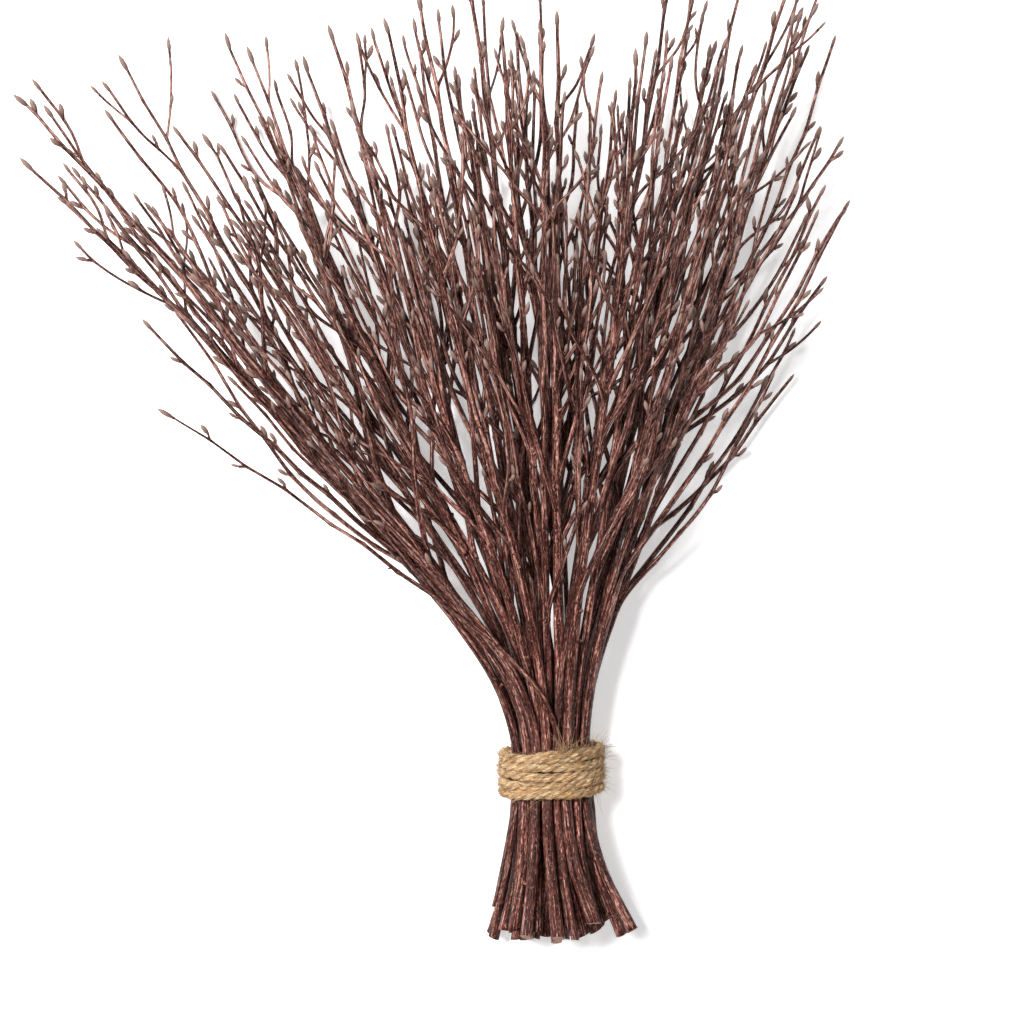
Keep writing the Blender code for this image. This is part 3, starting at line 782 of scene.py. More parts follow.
def add_stubs(skin, line, radii, count, zone, tone, rng):
    """Adds what is left of side twigs that broke off: short blunt cones with a pale end."""
    if count == 0:
        return
    along = path_length(line)
    at = np.searchsorted(along, rng.uniform(*zone, count))
    tangent, side, up = frames(line)
    roll = rng.uniform(0, 2 * np.pi, count)[:, None]
    out = side[at] * np.cos(roll) + up[at] * np.sin(roll)
    steep = np.radians(rng.uniform(*STUB_ANGLE, count))[:, None]
    way = tangent[at] * np.cos(steep) + out * np.sin(steep)
    thick = radii[at]
    reach = thick / np.sin(steep[:, 0]) + rng.uniform(*STUB_REACH, count)
    points = line[at][:, None] + way[:, None] * (reach[:, None] * STUB_SHARES)[..., None]
    radius = (thick * rng.uniform(*STUB_THICKNESS, count))[:, None] * STUB_WIDTHS
    age = (along[at] / along[-1])[:, None]
    growth = np.stack([
        np.broadcast_to(age, radius.shape),
        np.zeros(radius.shape),
        np.full(radius.shape, tone),
    ], -1)
    kinds = np.array([BARK, BARK, BARK, BARK, WOOD, WOOD])
    skin.add_tubes(points, radius, STUB_FACES_ROUND, growth, kinds, start=rng.uniform(0, 3, count))


def arcs(root, heading, out, angle, straighten, length, rings):
    """Lines that leave at an angle from the heading towards out. The angle shrinks evenly along them, by
    the share called straighten; a point is the sum of the steps before it."""
    share = np.linspace(0, 1, rings + 1)
    turned = angle[:, None] * (1 - straighten[:, None] * share)
    way = heading[:, None] * np.cos(turned)[..., None] + out[:, None] * np.sin(turned)[..., None]
    step = (way[:, 1:] + way[:, :-1]) / 2 * (length / rings)[:, None, None]
    return root[:, None] + np.concatenate([np.zeros((len(root), 1, 3)), np.cumsum(step, 1)], 1)


def tapered(line, first, last, power, collar=COLLAR_LENGTH):
    """Radii along a branch: from the first to the last by a power of the share of its length, and a
    collar at its foot that fades away exponentially."""
    along = path_length(line)
    return blend(first, last, (along / along[-1]) ** power) * (1 + COLLAR_SWELL * np.exp(-along / collar))


def add_growth_at_nodes(skin, line, radii, node, out, age, share, looks, end, tone, rng):
    """Adds a bud or a small side twig at each node of a branch, and an end bud at its tip."""
    along = path_length(line)
    tangent = frames(line)[0]
    age_at = blend(age[0], age[1], along / along[-1])
    bears = rng.uniform(0, 1, len(node)) < share * smooth((age_at[node] - TWIGLETS_FROM[0]) / TWIGLETS_FROM[1])
    bears &= along[-1] - along[node] > TWIGLET_ROOM
    twigs = node[bears]
    count = len(twigs)
    if count:
        length = np.minimum(along[-1] - along[twigs], TWIGLET_LONGEST)
        length = length * rng.uniform(*TWIGLET_LENGTH, count) + TWIGLET_LEAST
        angle = np.radians(rng.uniform(*TWIGLET_ANGLE, count))
        straighten = rng.uniform(*TWIGLET_RETURN, count)
        grown = arcs(line[twigs], tangent[twigs], out[bears], angle, straighten, length, TWIGLET_RINGS)
        thick = np.minimum(radii[twigs] * TWIGLET_RADIUS[0], TWIGLET_RADIUS[1])
        for k in range(count):
            taper = tapered(grown[k], thick[k], TIP_RADIUS * TWIGLET_END, 1.0, COLLAR_LENGTH * TWIGLET_COLLAR)
            own, taper, own_node, own_out = with_nodes(
                grown[k], taper, rng.uniform(*TWIGLET_NODE), looks.zigzag, rng)
            own[:, 2] = np.maximum(own[:, 2], taper * TWIGLET_LIFT)
            own_age = (age_at[twigs[k]], blend(age_at[twigs[k]], 1.0, TWIGLET_AGE))
            own_end = end * YOUNGER_BUD
            add_branch(skin, own, taper, TWIGLET_FACES_ROUND, own_age, tone, rng, TWIGLET_RELIEF)
            add_leafless_nodes(skin, own, taper, own_node, own_out, own_age, looks, own_end, tone, rng)
    add_leafless_nodes(skin, line, radii, node[~bears], out[~bears], age, looks, end, tone, rng)


def add_leafless_nodes(skin, line, radii, node, out, age, looks, end, tone, rng):
    """Adds a bud on a spur at some of these nodes, and one end bud."""
    along = path_length(line)
    size = looks.bud_size
    age_at = blend(age[0], age[1], along / along[-1])
    kept = rng.uniform(0, 1, len(node)) < looks.buds * smooth((age_at[node] - BUDS_FROM[0]) / BUDS_FROM[1])
    node, out = node[kept], out[kept]
    tangent = frames(line)[0]
    count = len(node)
    add_buds(
        skin, line[node], tangent[node], out, radii[node], age_at[node],
        size * rng.uniform(*SIDE_BUD, count), blend(*SPUR, rng.uniform(0.0, 1.0, count) ** SPUR_BIAS),
        BUD_FACES_ROUND, tone, rng,
    )
    last = len(line) - 1
    back = max(last - 2, 0)
    add_buds(
        skin, line[back:back + 1], tangent[last:], tangent[last:], np.array([TIP_RADIUS]), age_at[last:],
        size * end * rng.uniform(*END_BUD, 1), np.zeros(1), BUD_FACES_ROUND, tone, rng,
    )


def add_fine_shoots(skin, line, radii, count, butt, looks, tone, rng):
    """Adds thin shoots that leave a stem low down and run along beside it, as small twigs do."""
    along = path_length(line)
    tangent, side, up = frames(line, UPRIGHT)
    root = np.searchsorted(along, butt + rng.uniform(*FINE_SHOOT_ZONE, count))
    roll = rng.uniform(0, 2 * np.pi, count)[:, None]
    out = side[root] * np.cos(roll) + up[root] * np.sin(roll) * FINE_SHOOT_FLAT
    lean = unit(line[-1] - line[0])[0]
    if abs(lean) > OUTER_LEAN:
        out[:, 0] = -np.sign(lean) * np.abs(out[:, 0])
    length = (along[-1] - along[root]) * rng.uniform(*FINE_SHOOT_LENGTH, count)
    angle = np.radians(rng.uniform(*FINE_SHOOT_ANGLE, count))
    thick = rng.uniform(*FINE_SHOOT_RADIUS, count)
    straighten = rng.uniform(*FINE_SHOOT_RETURN, count)
    lines = arcs(line[root], tangent[root], unit(out), angle, straighten, length, FINE_SHOOT_RINGS)
    for k in range(count):
        taper = tapered(lines[k], thick[k], TIP_RADIUS, FINE_SHOOT_TAPER)
        own, taper, node, out = with_nodes(lines[k], taper, rng.uniform(*FINE_SHOOT_NODE), looks.zigzag, rng)
        own[:, 2] = np.maximum(own[:, 2], taper * SHOOT_LIFT)
        age = (along[root[k]] / along[-1], FINE_SHOOT_AGE)
        share = looks.small_twigs * FINE_SHOOT_SHARE
        add_branch(skin, own, taper, TWIGLET_FACES_ROUND, age, tone, rng, FINE_SHOOT_RELIEF)
        add_growth_at_nodes(skin, own, taper, node, out, age, share, looks, YOUNGER_BUD, tone, rng)


def grow_twig(number, line, radii, shoots, cut, looks, materials):
    """One twig as a mesh: stem, shoots, small twigs, buds and stubs, in place of its solid."""
    rng = np.random.default_rng([SEED, number])
    tone = rng.normal(0, 1)
    skin = Skin()
    points, thick = line[:BUD_RINGS], radii[:BUD_RINGS]
    butt = (path_length(points)[2] + path_length(points)[3]) / 2
    fine = spline(points, STEM_RINGS)
    along = path_length(fine)
    fine_radii = np.interp(along / along[-1], path_length(points) / path_length(points)[-1], thick)
    fine, fine_radii, node, out = with_nodes(fine, fine_radii, butt + FIRST_NODE, looks.zigzag, rng)
    fine[:, 2] = np.maximum(fine[:, 2], fine_radii * STEM_LIFT)
    stem_radii = fine_radii * (1 + CUT_FLARE[0] * np.exp(-along / CUT_FLARE[1]))
    lip = fine[0] - unit(fine[1] - fine[0]) * CUT_LIP[1]
    rings = len(fine)
    relief = np.vstack([np.ones((1, STEM_FACES_ROUND)), bark_relief(stem_radii[:-1], STEM_FACES_ROUND, rng)])
    relief[0] = relief[1] = 1 + (relief[1] - 1) * 0.5
    skin.add_tubes(
        np.vstack([lip, fine])[None],
        np.concatenate([[stem_radii[0] * CUT_LIP[0]], stem_radii[:-1]])[None],
        STEM_FACES_ROUND,
        growth_along(0.0, 1.0, rings, 0.0, tone),
        np.array([WOOD, WOOD] + [BARK] * (rings - 1)),
        start=rng.uniform(0, 3),
        relief=relief,
        cut=cut,
        axis=UPRIGHT,
    )
    leafy = along[node] > butt + FIRST_LEAF_NODE
    outer = abs(unit(fine[-1] - fine[0])[0]) > OUTER_LEAN
    share = looks.small_twigs * (OUTER_SHARE if outer else 1.0)
    add_growth_at_nodes(
        skin, fine, fine_radii, node[leafy], out[leafy], (0.0, 1.0), share, looks, 1.0, tone, rng)
    below = (BUTT_STUB_ZONE[0], butt - BUTT_STUB_ZONE[1])
    above = (butt + STEM_STUB_ZONE[0], butt + STEM_STUB_ZONE[1])
    add_stubs(skin, fine, fine_radii, rng.binomial(*BUTT_STUBS), below, tone, rng)
    add_stubs(skin, fine, fine_radii, STEM_STUBS, above, tone, rng)
    add_fine_shoots(skin, fine, fine_radii, FEW_FINE_SHOOTS if outer else FINE_SHOOTS, butt, looks, tone, rng)
    for shoot, shoot_radii in shoots:
        root = np.argmin(np.linalg.norm(fine - shoot[0], axis=-1))
        heading = unit(fine[min(root + 1, rings - 1)] - fine[root - 1])
        end = shoot[2] - unit(shoot[2] - shoot[1]) * BUD_LENGTH * BUD_SWELL
        leave = unit(blend(unit(shoot[1] - shoot[0]), heading, SOLID_SHOOT_LEAVE))
        own = spline(np.array([fine[root], shoot[1], end]), SHOOT_RINGS, leave)
        taper = tapered(own, shoot_radii[0], TIP_RADIUS, SOLID_SHOOT_TAPER)
        own, taper, node, out = with_nodes(own, taper, rng.uniform(*SOLID_SHOOT_NODE), looks.zigzag, rng)
        own[:, 2] = np.maximum(own[:, 2], taper * SHOOT_LIFT)
        age = (along[root] / along[-1], 1.0)
        add_branch(skin, own, taper, SHOOT_FACES_ROUND, age, tone, rng, SOLID_SHOOT_RELIEF)
        add_growth_at_nodes(skin, own, taper, node, out, age, share, looks, YOUNGER_BUD, tone, rng)
    piece = skin.to_object(f"birch_twig_{number + 1:02d}", materials)
    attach(piece, "root")
    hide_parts(f"twig_{number + 1:02d}")


# ---- Twine -------------------------------------------------------------------------------------
def twine_route():
    """The middle of the twine at equal angles, and the way straight out from the bundle at each point.
    An oval coil: it starts beneath and runs over the top five times from left to right, each time one
    pitch nearer the tips. The sixth time it comes out of the bundle at the middle, climbs on to the last
    turn and is tucked in on the right."""
    turns = np.linspace(0.90, 6.58, 1560)
    angle = turns * 2 * np.pi
    width = -np.cos(angle)
    last = smooth((turns - 5.55) / 0.25)
    out = smooth((turns - 6.12) / 0.14)
    tucked = smooth((turns - 6.44) / 0.12)
    along = blend(TWINE_PITCH * (turns - 3.25), TWINE_PITCH * blend(1.5, 2.6, out), last)
    along = along - WRAP_TILT * np.sin(angle) - 0.0016 * tucked
    along = along + 0.00035 * np.sin(angle * 1.7 + 0.4) + 0.00020 * np.sin(angle * 4.3)
    proud = blend(0.00012 * np.sin(angle * 3.1), blend(-0.0024, 0.0005, out) - 0.0014 * tucked, last)
    proud = proud - TWINE_RADIUS * (PLY_REACH - 1)
    half_width = COIL_HALF_WIDTH + proud
    half_depth = COIL_HALF_DEPTH + proud
    line = np.stack([half_width * width, along, WAIST_HEIGHT + half_depth * np.sin(angle)], -1)
    line[:, 2] = np.maximum(line[:, 2], TWINE_RADIUS * TWINE_LIFT)
    outward = unit(np.stack([width / half_width, 0 * angle, np.sin(angle) / half_depth], -1))
    return line, outward


def add_plies(skin, line, outward, looks, rng):
    """Adds the twine's three plies: tubes whose middles go round the twine's own middle once in each
    pitch of the twist, with the ridges of their fibres running slantwise round them."""
    along = path_length(line)
    tangent = unit(np.gradient(line, axis=0))
    across = unit(np.cross(tangent, outward))
    radius = looks.ply_share * TWINE_RADIUS
    offset = TWINE_RADIUS * PLY_REACH - radius
    uneven = 1 + 0.05 * np.sin(along / 0.0031 + 1.0) + 0.04 * np.sin(along / 0.0011)
    swirl = np.arange(PLY_FACES_ROUND) * 2 * np.pi / PLY_FACES_ROUND
    ridges = 0.05 * np.sin(3 * swirl + along[:, None] / 0.0012)
    ridges = ridges + 0.04 * np.sin(4 * swirl - along[:, None] / 0.0019)
    first, last = PLY_END_RINGS
    for ply in range(PLIES):
        turn = -2 * np.pi * along / looks.twist + ply * 2 * np.pi / PLIES + 0.25 * np.sin(along / 0.017)
        middle = line + (outward * np.cos(turn)[:, None] + across * np.sin(turn)[:, None]) * offset
        own = radius * uneven * (1 + 0.05 * np.sin(along / 0.0047 + ply * 2.1))
        own[:first] *= smooth(np.linspace(PLY_END_WIDTH, 1, first))
        own[-last:] *= smooth(np.linspace(1, PLY_END_WIDTH, last))
        relief = 1 + ridges + rng.normal(0, 0.018, ridges.shape)
        growth = np.stack([along / along[-1], np.full(len(line), ply / PLIES), 0.5 + 0.5 * np.sin(along / 0.021)], -1)
        skin.add_tubes(
            middle[None],
            own[None, :-1],
            PLY_FACES_ROUND,
            growth[:-1],
            np.zeros(len(own), int),
            start=ply * 0.7,
            relief=relief[:-1],
            axis=ALONG,
        )


def add_fibres(skin, root, way, length, curve, thick):
    """Adds loose fibres: thin tubes along way x distance + curve x distance squared."""
    count, rings = len(root), 5
    share = np.linspace(0, 1, rings + 1)
    gone = length[:, None] * share
    line = root[:, None] + way[:, None] * gone[..., None]
    line = line + curve[:, None] * (gone[..., None] ** 2) / length[:, None, None]
    line[..., 2] = np.maximum(line[..., 2], FIBRE_HEIGHT)
    radii = thick[:, None] * (1 - 0.6 * share[:-1])
    growth = np.stack([
        np.broadcast_to(share[:-1], radii.shape),
        np.ones(radii.shape),
        np.full(radii.shape, 0.8),
    ], -1)
    skin.add_tubes(line, radii, 3, growth, np.zeros(rings + 1, int))


def wind_twine(looks, materials):
    """The twine as a mesh: plies, short fibres all over and tufts of longer ones."""
    rng = np.random.default_rng([SEED, 1000])
    shift = bundle_shift()
    line, outward = twine_route()
    skin = Skin()
    add_plies(skin, line + shift, outward, looks, rng)
    tangent = unit(np.gradient(line, axis=0))
    pick = rng.integers(20, len(line) - 20, looks.fibres)
    across = np.cross(tangent[pick], outward[pick])
    roll = rng.normal(0, 0.9, looks.fibres)[:, None]
    out = outward[pick] * np.cos(roll) + across * np.sin(roll)
    raised = rng.uniform(0.02, 0.62, (looks.fibres, 1)) ** 1.8
    skew = np.cross(out, tangent[pick]) * rng.normal(0.25, 0.35, (looks.fibres, 1))
    way = unit(tangent[pick] * rng.choice([-1.0, 1.0], (looks.fibres, 1)) + out * raised + skew)
    length = rng.gamma(2.4, 0.0013, looks.fibres) + 0.0016
    curve = rng.normal(0, 0.25, (looks.fibres, 3)) - out * 0.12
    root = line[pick] + shift + out * TWINE_RADIUS
    add_fibres(skin, root, way, length, curve, rng.uniform(0.00006, 0.00011, looks.fibres))
    for x, y, towards, count, longest in TUFTS:
        off = np.abs(line[:, 0] - x) + np.abs(line[:, 1] - y) + (line[:, 2] < WAIST_HEIGHT)
        pick = rng.choice(np.argsort(off)[:60], count)
        root = line[pick] + shift + outward[pick] * TWINE_RADIUS * 0.7
        spread = rng.normal(0, 0.45, (count, 3))
        way = unit(np.array(towards) + spread + outward[pick] * 0.25)
        length = rng.uniform(0.3, 1.0, count) * longest
        add_fibres(skin, root, way, length, rng.normal(0, 0.5, (count, 3)), rng.uniform(0.00010, 0.00015, count))
    piece = skin.to_object("jute_wrap", materials)
    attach(piece, "root")
    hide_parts("twine_wrap")


# ---- Materials ---------------------------------------------------------------------------------
def add_node(tree, kind, inputs=None, **settings):
    """Adds a shader node, sets it up, and gives each named or numbered input its value or its link."""
    made = tree.nodes.new("ShaderNode" + kind)
    for name, value in settings.items():
        setattr(made, name, value)
    for name, value in (inputs or {}).items():
        if isinstance(value, bpy.types.NodeSocket):
            tree.links.new(value, made.inputs[name])
        else:
            made.inputs[name].default_value = value
    return made


def shade(colour, factor=1.0):
    """An RGBA colour from an RGB one, times a factor."""
    return (colour[0] * factor, colour[1] * factor, colour[2] * factor, 1.0)


def grain_group():
    """Node group: noise stretched along a branch or a strand, cut to the range from Low to High.
    Across and Along are how many waves there are in a metre."""
    group = bpy.data.node_groups.new("lengthwise_grain", "ShaderNodeTree")
    group.interface.new_socket("Place", in_out="INPUT", socket_type="NodeSocketVector")
    for name, value in (("Across", 2000.0), ("Along", 300.0), ("Low", 0.4), ("High", 0.6)):
        socket = group.interface.new_socket(name, in_out="INPUT", socket_type="NodeSocketFloat")
        socket.default_value = value
    group.interface.new_socket("Mask", in_out="OUTPUT", socket_type="NodeSocketFloat")
    given = group.nodes.new("NodeGroupInput").outputs
    scale = add_node(group, "CombineXYZ", {"X": given["Across"], "Y": given["Across"], "Z": given["Along"]})
    place = add_node(group, "VectorMath", {0: given["Place"], 1: scale.outputs[0]}, operation="MULTIPLY")
    noise = add_node(group, "TexNoise", {
        "Vector": place.outputs[0],
        "Scale": 1.0,
        "Detail": 3.0,
        "Roughness": 0.6,
    })
    cut = add_node(group, "MapRange", {
        "Value": noise.outputs["Fac"],
        "From Min": given["Low"],
        "From Max": given["High"],
    }, interpolation_type="SMOOTHSTEP")
    result = group.nodes.new("NodeGroupOutput")
    group.links.new(cut.outputs["Result"], result.inputs["Mask"])
    return group


class Paint:
    """A material in the making: its nodes, its shader, and the two attributes of its piece."""

    def __init__(self, name, group=None):
        self.material = bpy.data.materials.new(name)
        self.material.use_nodes = True
        self.tree = self.material.node_tree
        self.shader = self.tree.nodes["Principled BSDF"].inputs
        self.group = group
        if group:
            self.place = add_node(self.tree, "Attribute", attribute_name="grain_place").outputs["Vector"]
            growth = add_node(self.tree, "Attribute", attribute_name="growth").outputs["Vector"]
            self.growth = add_node(self.tree, "SeparateXYZ", {0: growth}).outputs

    def math(self, how, *values):
        """One arithmetic node."""
        return add_node(self.tree, "Math", dict(enumerate(values)), operation=how).outputs[0]

    def times(self, value, factor):
        """A value times a factor."""
        return self.math("MULTIPLY", value, factor)

    def ranged(self, value, given, wanted=(0.0, 1.0)):
        """A value taken from the given range to the wanted one."""
        ends = {"From Min": given[0], "From Max": given[1], "To Min": wanted[0], "To Max": wanted[1]}
        return add_node(self.tree, "MapRange", {"Value": value, **ends}).outputs["Result"]

    def grain(self, across, along, low, high):
        """One use of the grain group."""
        values = {"Place": self.place, "Across": across, "Along": along, "Low": low, "High": high}
        return add_node(self.tree, "Group", values, node_tree=self.group).outputs["Mask"]

    def mix(self, colour, share, other):
        """A colour with a share of another one in it."""
        return add_node(self.tree, "Mix", {0: share, 6: colour, 7: other}, data_type="RGBA").outputs[2]

    def ramp(self, value, *stops):
        """A colour from a ramp, of which each stop has a place and a colour."""
        made = add_node(self.tree, "ValToRGB", {0: value})
        elements = made.color_ramp.elements
        while len(elements) < len(stops):
            elements.new(0.5)
        for element, (place, colour) in zip(elements, stops):
            element.position = place
            element.color = shade(colour)
        return made.outputs["Color"]

    def finish(self, colour, gloss, rough, height, strength, distance):
        """Gives the shader its colour, its roughness between two values, and its bump."""
        self.tree.links.new(colour, self.shader["Base Color"])
        self.tree.links.new(self.ranged(gloss, (0.0, 1.0), rough), self.shader["Roughness"])
        bump = add_node(self.tree, "Bump", {"Height": height, "Strength": strength, "Distance": distance})
        self.tree.links.new(bump.outputs["Normal"], self.shader["Normal"])
        return self.material


def bark_material(group, looks):
    """Dark red-brown bark: dark wrinkles along it, paler flecks and pores, mauve towards the tips, painted highlight
    and shade.
    """
    paint = Paint("birch_bark", group)
    age, _, tone = paint.growth
    dark, pale = looks.bark_dark, looks.fleck_and_glint
    fibre = paint.grain(2700.0, 520.0, 0.30, 0.70)
    ridge = paint.grain(1250.0, 48.0, 0.43, 0.60)
    crack_and_shade = paint.grain(1500.0, 70.0, 0.555, 0.615)
    fleck_and_glint = paint.grain(2300.0, 900.0, 0.60, 0.66)
    # Painted highlight and shade: where the bump raises ridges and fibres the ramps paint the bark paler, in its
    # grooves darker.
    lit = paint.math("MULTIPLY_ADD", ridge, 0.48, paint.times(fibre, 0.55))
    old = paint.ramp(lit, (0.10, dark), (0.40, looks.bark), (0.72, looks.bark_red), (0.95, pale))
    young = paint.ramp(lit, (0.06, dark), (0.34, looks.bark), (0.70, looks.young_bark), (0.95, pale))
    colour = paint.mix(old, paint.ranged(age, (0.15, 0.85)), young)
    # Painted shade, partly darker fissures: the cracks are darkened where the bump sinks them.
    colour = paint.mix(colour, paint.times(crack_and_shade, 0.9), shade(dark))
    # Pale flecks and pores, partly painted glints.
    colour = paint.mix(colour, paint.times(fleck_and_glint, 0.5), shade(pale))
    bright = paint.ranged(tone, (-2.0, 2.0), (0.66, 1.36))
    toned = add_node(paint.tree, "VectorMath", {0: colour, "Scale": bright}, operation="SCALE").outputs[0]
    height = paint.math("ADD", paint.times(fibre, 0.5), paint.times(ridge, 0.7))
    height = paint.math("SUBTRACT", height, paint.times(crack_and_shade, 0.8))
    paint.shader["Specular IOR Level"].default_value = 0.18
    return paint.finish(toned, fibre, (0.50, 0.30), height, 0.9, 0.00026)


def bud_material(group, looks):
    """Bud scales: brown at the foot, beige towards the point, with a dark edge to each scale."""
    paint = Paint("bud_scales", group)
    ripe = paint.growth[1]
    streak = paint.grain(1900.0, 260.0, 0.35, 0.65)
    wave = paint.math("ADD", paint.times(ripe, 15.0), paint.times(streak, 0.7))
    edge = paint.math("POWER", paint.math("FRACT", wave), 5.0)
    colour = paint.mix(shade(looks.bud_foot), paint.ranged(ripe, (0.1, 0.8)), shade(looks.bud_tip))
    colour = paint.mix(colour, paint.times(streak, 0.4), shade(looks.bud_tip, 1.25))
    colour = paint.mix(colour, paint.times(edge, 0.6), shade(looks.bud_foot, 0.5))
    return paint.finish(colour, streak, (0.6, 0.45), paint.math("SUBTRACT", streak, edge), 0.6, 0.00018)


def wood_material(group, looks):
    """Cut wood: pale tan with a darker pith and faint rings about it."""
    paint = Paint("cut_wood", group)
    split = add_node(paint.tree, "SeparateXYZ", {0: paint.place}).outputs
    flat = add_node(paint.tree, "CombineXYZ", {"X": split["X"], "Y": split["Y"]}).outputs[0]
    far = add_node(paint.tree, "VectorMath", {0: flat}, operation="LENGTH").outputs["Value"]
    ring = paint.math("MULTIPLY_ADD", paint.math("SINE", paint.times(far, 13000.0)), 0.5, 0.5)
    pore = paint.grain(2600.0, 2600.0, 0.45, 0.7)
    pith = paint.ranged(far, (0.00045, 0.0002))
    colour = paint.mix(shade(looks.cut_wood), paint.times(ring, 0.35), shade(looks.cut_wood, 0.62))
    colour = paint.mix(colour, paint.times(pore, 0.5), shade(looks.cut_wood, 0.5))
    colour = paint.mix(colour, paint.times(pith, 0.8), shade(looks.bark, 0.9))
    return paint.finish(colour, pore, (0.7, 0.85), paint.math("SUBTRACT", ring, pore), 0.5, 0.00015)


def jute_material(group, looks):
    """Jute: fine fibres along each ply, straw to tan, darker between them partly as painted shade, with painted
    highlights, dull.
    """
    paint = Paint("jute", group)
    shadow = paint.growth[2]
    fibre = paint.grain(3000.0, 330.0, 0.36, 0.62)
    coarse_and_highlight = paint.grain(1500.0, 160.0, 0.44, 0.62)
    dark = paint.grain(2200.0, 260.0, 0.58, 0.66)
    # Painted highlight and shade, partly fibre colour: fibres the bump raises are paler, the grooves it sinks are
    # darker.
    colour = paint.mix(shade(looks.jute_dark), fibre, shade(looks.jute))
    colour = paint.mix(colour, paint.times(coarse_and_highlight, 0.6), shade(looks.jute_light))
    colour = paint.mix(colour, paint.times(dark, 0.6), shade(looks.jute_dark, 0.6))
    colour = paint.mix(colour, paint.times(shadow, 0.12), shade(looks.jute_dark))
    paint.shader["Specular IOR Level"].default_value = 0.25
    paint.shader["Sheen Weight"].default_value = 0.1
    height = paint.math("SUBTRACT", paint.math("ADD", fibre, paint.times(coarse_and_highlight, 0.7)), dark)
    return paint.finish(colour, fibre, (0.92, 0.78), height, 0.9, 0.0004)


def floor_material(looks):
    """The pale floor, with the faintest unevenness of tone."""
    paint = Paint("pale_floor")
    place = add_node(paint.tree, "TexCoord").outputs["Object"]
    noise = add_node(paint.tree, "TexNoise", {"Vector": place, "Scale": 6.0, "Detail": 4.0}).outputs["Fac"]
    colour = paint.mix(shade(looks.floor), paint.times(noise, 0.25), shade(looks.floor, 0.985))
    paint.tree.links.new(colour, paint.shader["Base Color"])
    paint.shader["Roughness"].default_value = 0.9
    paint.shader["Emission Color"].default_value = (1.0, 1.0, 1.0, 1.0)
    paint.shader["Emission Strength"].default_value = looks.floor_glow
    return paint.material


# ---- The add-on --------------------------------------------------------------------------------
def colour_property(name, description, default):
    """A colour that a user can change."""
    return FloatVectorProperty(
        name=name, description=description, default=default, size=3, min=0.0, max=1.0, subtype="COLOR")


class TwigLooks(bpy.types.PropertyGroup):
    """What a user may change of the twigs."""

    zigzag: FloatProperty(
        name="Zigzag", description="How far a thin twig swings from node to node",
        default=0.00052, min=0.0, max=0.002, unit="LENGTH", precision=5)
    bud_size: FloatProperty(
        name="Bud size", description="Length of the buds against those of the solids",
        default=1.0, min=0.4, max=1.6, subtype="FACTOR")
    buds: FloatProperty(
        name="Buds", description="Share of the other nodes that bear a bud",
        default=0.80, min=0.0, max=1.0, subtype="FACTOR")
    small_twigs: FloatProperty(
        name="Small twigs", description="Share of the nodes that bear a small twig instead of a bud",
        default=0.16, min=0.0, max=1.0, subtype="FACTOR")
    bark: colour_property("Bark", "Colour of old bark", (0.063, 0.0130, 0.0085))
    # Partly painted shade: the wrinkles and cracks that this colour fills are grooves of the bump.
    bark_dark: colour_property("Bark wrinkles", "Colour between the wrinkles of bark", (0.005, 0.002, 0.002))
    # Red bark and young bark are upper steps of the ramp that paints raised ridges paler: partly painted highlight.
    bark_red: colour_property("Red bark", "Colour of smooth stretches of old bark", (0.185, 0.045, 0.029))
    young_bark: colour_property("Young bark", "Colour of bark at the tips", (0.290, 0.135, 0.110))
    # Partly real flecks and pores, partly painted highlight and glint on the ridges.
    fleck_and_glint: colour_property("Flecks", "Colour of the pale flecks and pores in bark", (0.580, 0.325, 0.262))
    bud_foot: colour_property("Bud foot", "Colour of a bud where it leaves its spur", (0.085, 0.036, 0.028))
    bud_tip: colour_property("Bud tip", "Colour of a bud at its point", (0.300, 0.190, 0.155))
    cut_wood: colour_property("Cut wood", "Colour of the cut ends", (0.330, 0.180, 0.115))


class TwineLooks(bpy.types.PropertyGroup):
    """What a user may change of the twine."""

    twist: FloatProperty(
        name="Twist", description="Length in which a ply goes once round the twine",
        default=0.0122, min=0.004, max=0.03, unit="LENGTH", precision=4)
    ply_share: FloatProperty(
        name="Ply thickness", description="Radius of a ply against the radius of the twine",
        default=0.68, min=0.4, max=0.8, subtype="FACTOR")
    fibres: IntProperty(
        name="Loose fibres", description="Number of short fibres that stand off the twine",
        default=2500, min=0, max=4000)
    jute: colour_property("Jute", "Colour of the fibres", (0.980, 0.610, 0.290))
    # Partly painted highlight on the coarse fibres that the bump raises.
    jute_light: colour_property("Light jute", "Colour of the palest fibres", (1.000, 0.830, 0.540))
    # Partly painted shade in the grooves between the fibres that the bump sinks.
    jute_dark: colour_property("Dark jute", "Colour between the fibres", (0.400, 0.200, 0.075))


class StageLooks(bpy.types.PropertyGroup):
    """What a user may change of the stage."""

    floor: colour_property("Floor", "Colour of the floor", (0.93, 0.93, 0.93))
    floor_glow: FloatProperty(
        name="Floor glow", description="Light that the floor gives of itself, as a light table does",
        default=0.42, min=0.0)
    view_width: FloatProperty(
        name="Width in view", description="Width that the camera sees at the height of the twine",
        default=0.384, min=0.1, max=2.0, unit="LENGTH", precision=3)
    lens: FloatProperty(
        name="Lens", description="Focal length in millimetres", default=200.0, min=35.0, max=400.0)
    key_light: FloatProperty(
        name="Key light", description="Power of the main soft light", default=62.0, min=0.0, unit="POWER")
    fill_light: FloatProperty(
        name="Fill light", description="Power of the opposite soft light", default=7.0, min=0.0, unit="POWER")
    sky: FloatProperty(
        name="Room light", description="Strength of the even light from all round", default=0.14, min=0.0)


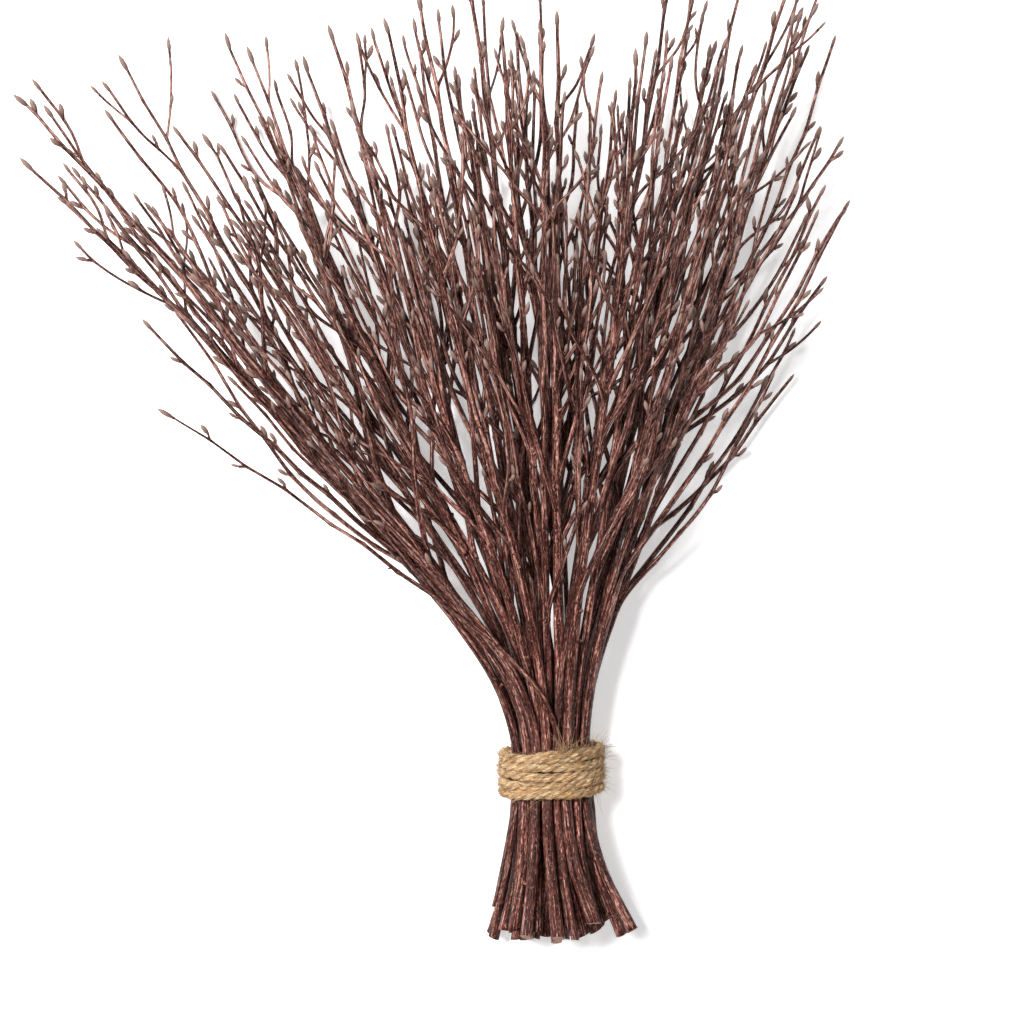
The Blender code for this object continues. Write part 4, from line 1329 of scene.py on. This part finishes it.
class BUNDLE_OT_grow_twigs(bpy.types.Operator):
    """Grow every twig of the bundle in place of its solid"""

    bl_idname = "bundle.grow_twigs"
    bl_label = "Grow twigs"

    def execute(self, context):
        looks = context.scene.twig_looks
        group = grain_group()
        materials = [bark_material(group, looks), bud_material(group, looks), wood_material(group, looks)]
        lines, radii, shoots, cuts = draw_bundle()
        for number in range(TWIG_COUNT):
            grow_twig(number, lines[number], radii[number], shoots[number], cuts[number], looks, materials)
        return {"FINISHED"}


class BUNDLE_OT_wind_twine(bpy.types.Operator):
    """Wind the jute twine round the bundle in place of its solid"""

    bl_idname = "bundle.wind_twine"
    bl_label = "Wind twine"

    def execute(self, context):
        looks = context.scene.twine_looks
        group = bpy.data.node_groups.get("lengthwise_grain") or grain_group()
        wind_twine(looks, [jute_material(group, looks)])
        return {"FINISHED"}


class BUNDLE_OT_set_stage(bpy.types.Operator):
    """Lay a pale floor, hang soft lights and put the camera straight above the bundle"""

    bl_idname = "bundle.set_stage"
    bl_label = "Set the stage"

    def execute(self, context):
        set_stage(context.scene.stage_looks)
        return {"FINISHED"}


def soft_light(name, place, target, size, power):
    """A square area light that looks at a point."""
    light = bpy.data.lights.new(name, "AREA")
    light.size = size
    light.energy = power
    obj = bpy.data.objects.new(name, light)
    bpy.context.scene.collection.objects.link(obj)
    obj.location = place
    obj.rotation_euler = look_along(np.array(target) - np.array(place))


def look_along(way):
    """The turn that makes a light or camera look along a direction, as Euler angles: first about X by
    the angle from straight down, then about Z by the direction's bearing."""
    x, y, z = way / np.linalg.norm(way)
    return (math.acos(-z), 0.0, math.atan2(y, x) - math.pi / 2)


def set_stage(looks):
    """Floor, lights, room light and camera."""
    mesh = bpy.data.meshes.new("floor")
    corners = [(x * FLOOR_HALF, y * FLOOR_HALF, 0) for x, y in ((-1, -1), (1, -1), (1, 1), (-1, 1))]
    mesh.from_pydata(corners, [], [(0, 1, 2, 3)])
    mesh.materials.append(floor_material(looks))
    floor = bpy.data.objects.new("floor", mesh)
    bpy.context.scene.collection.objects.link(floor)
    tie = bundle_shift()
    lit = tie + LIT_PLACE
    soft_light("key", tie + KEY_PLACE, lit, KEY_SIZE, looks.key_light)
    soft_light("fill", tie + FILL_PLACE, lit, FILL_SIZE, looks.fill_light)
    world = bpy.data.worlds.new("room")
    world.use_nodes = True
    background = world.node_tree.nodes["Background"].inputs
    background["Color"].default_value = (1.0, 1.0, 1.0, 1.0)
    background["Strength"].default_value = looks.sky
    bpy.context.scene.world = world
    bpy.context.scene.view_settings.view_transform = "Standard"
    camera = bpy.data.cameras.new("camera")
    camera.lens = looks.lens
    camera.sensor_width = 36.0
    away = looks.view_width * looks.lens / camera.sensor_width
    obj = bpy.data.objects.new("camera", camera)
    bpy.context.scene.collection.objects.link(obj)
    obj.location = tie + VIEW_PLACE + (0.0, 0.0, 2 * WAIST_HEIGHT + away)
    bpy.context.scene.camera = obj


class BUNDLE_PT_panel(bpy.types.Panel):
    """The bundle's steps and values"""

    bl_idname = "BUNDLE_PT_panel"
    bl_label = "Bundle of twigs"
    bl_space_type = "VIEW_3D"
    bl_region_type = "UI"
    bl_category = "Twigs"

    def draw(self, context):
        for group, operator in (
            ("twig_looks", BUNDLE_OT_grow_twigs),
            ("twine_looks", BUNDLE_OT_wind_twine),
            ("stage_looks", BUNDLE_OT_set_stage),
        ):
            box = self.layout.box()
            box.operator(operator.bl_idname)
            looks = getattr(context.scene, group)
            for name in looks.__annotations__:
                box.prop(looks, name)


CLASSES = (
    TwigLooks, TwineLooks, StageLooks,
    BUNDLE_OT_grow_twigs, BUNDLE_OT_wind_twine, BUNDLE_OT_set_stage, BUNDLE_PT_panel,
)


def register():
    """Makes the classes known and gives every scene its values."""
    for each in CLASSES:
        bpy.utils.register_class(each)
    bpy.types.Scene.twig_looks = PointerProperty(type=TwigLooks)
    bpy.types.Scene.twine_looks = PointerProperty(type=TwineLooks)
    bpy.types.Scene.stage_looks = PointerProperty(type=StageLooks)


def unregister():
    """Takes back what register did."""
    del bpy.types.Scene.twig_looks, bpy.types.Scene.twine_looks, bpy.types.Scene.stage_looks
    for each in reversed(CLASSES):
        bpy.utils.unregister_class(each)


def main():
    """Runs every step."""
    register()
    bpy.ops.bundle.grow_twigs()
    bpy.ops.bundle.wind_twine()
    bpy.ops.bundle.set_stage()


if __name__ == "__main__":
    main()
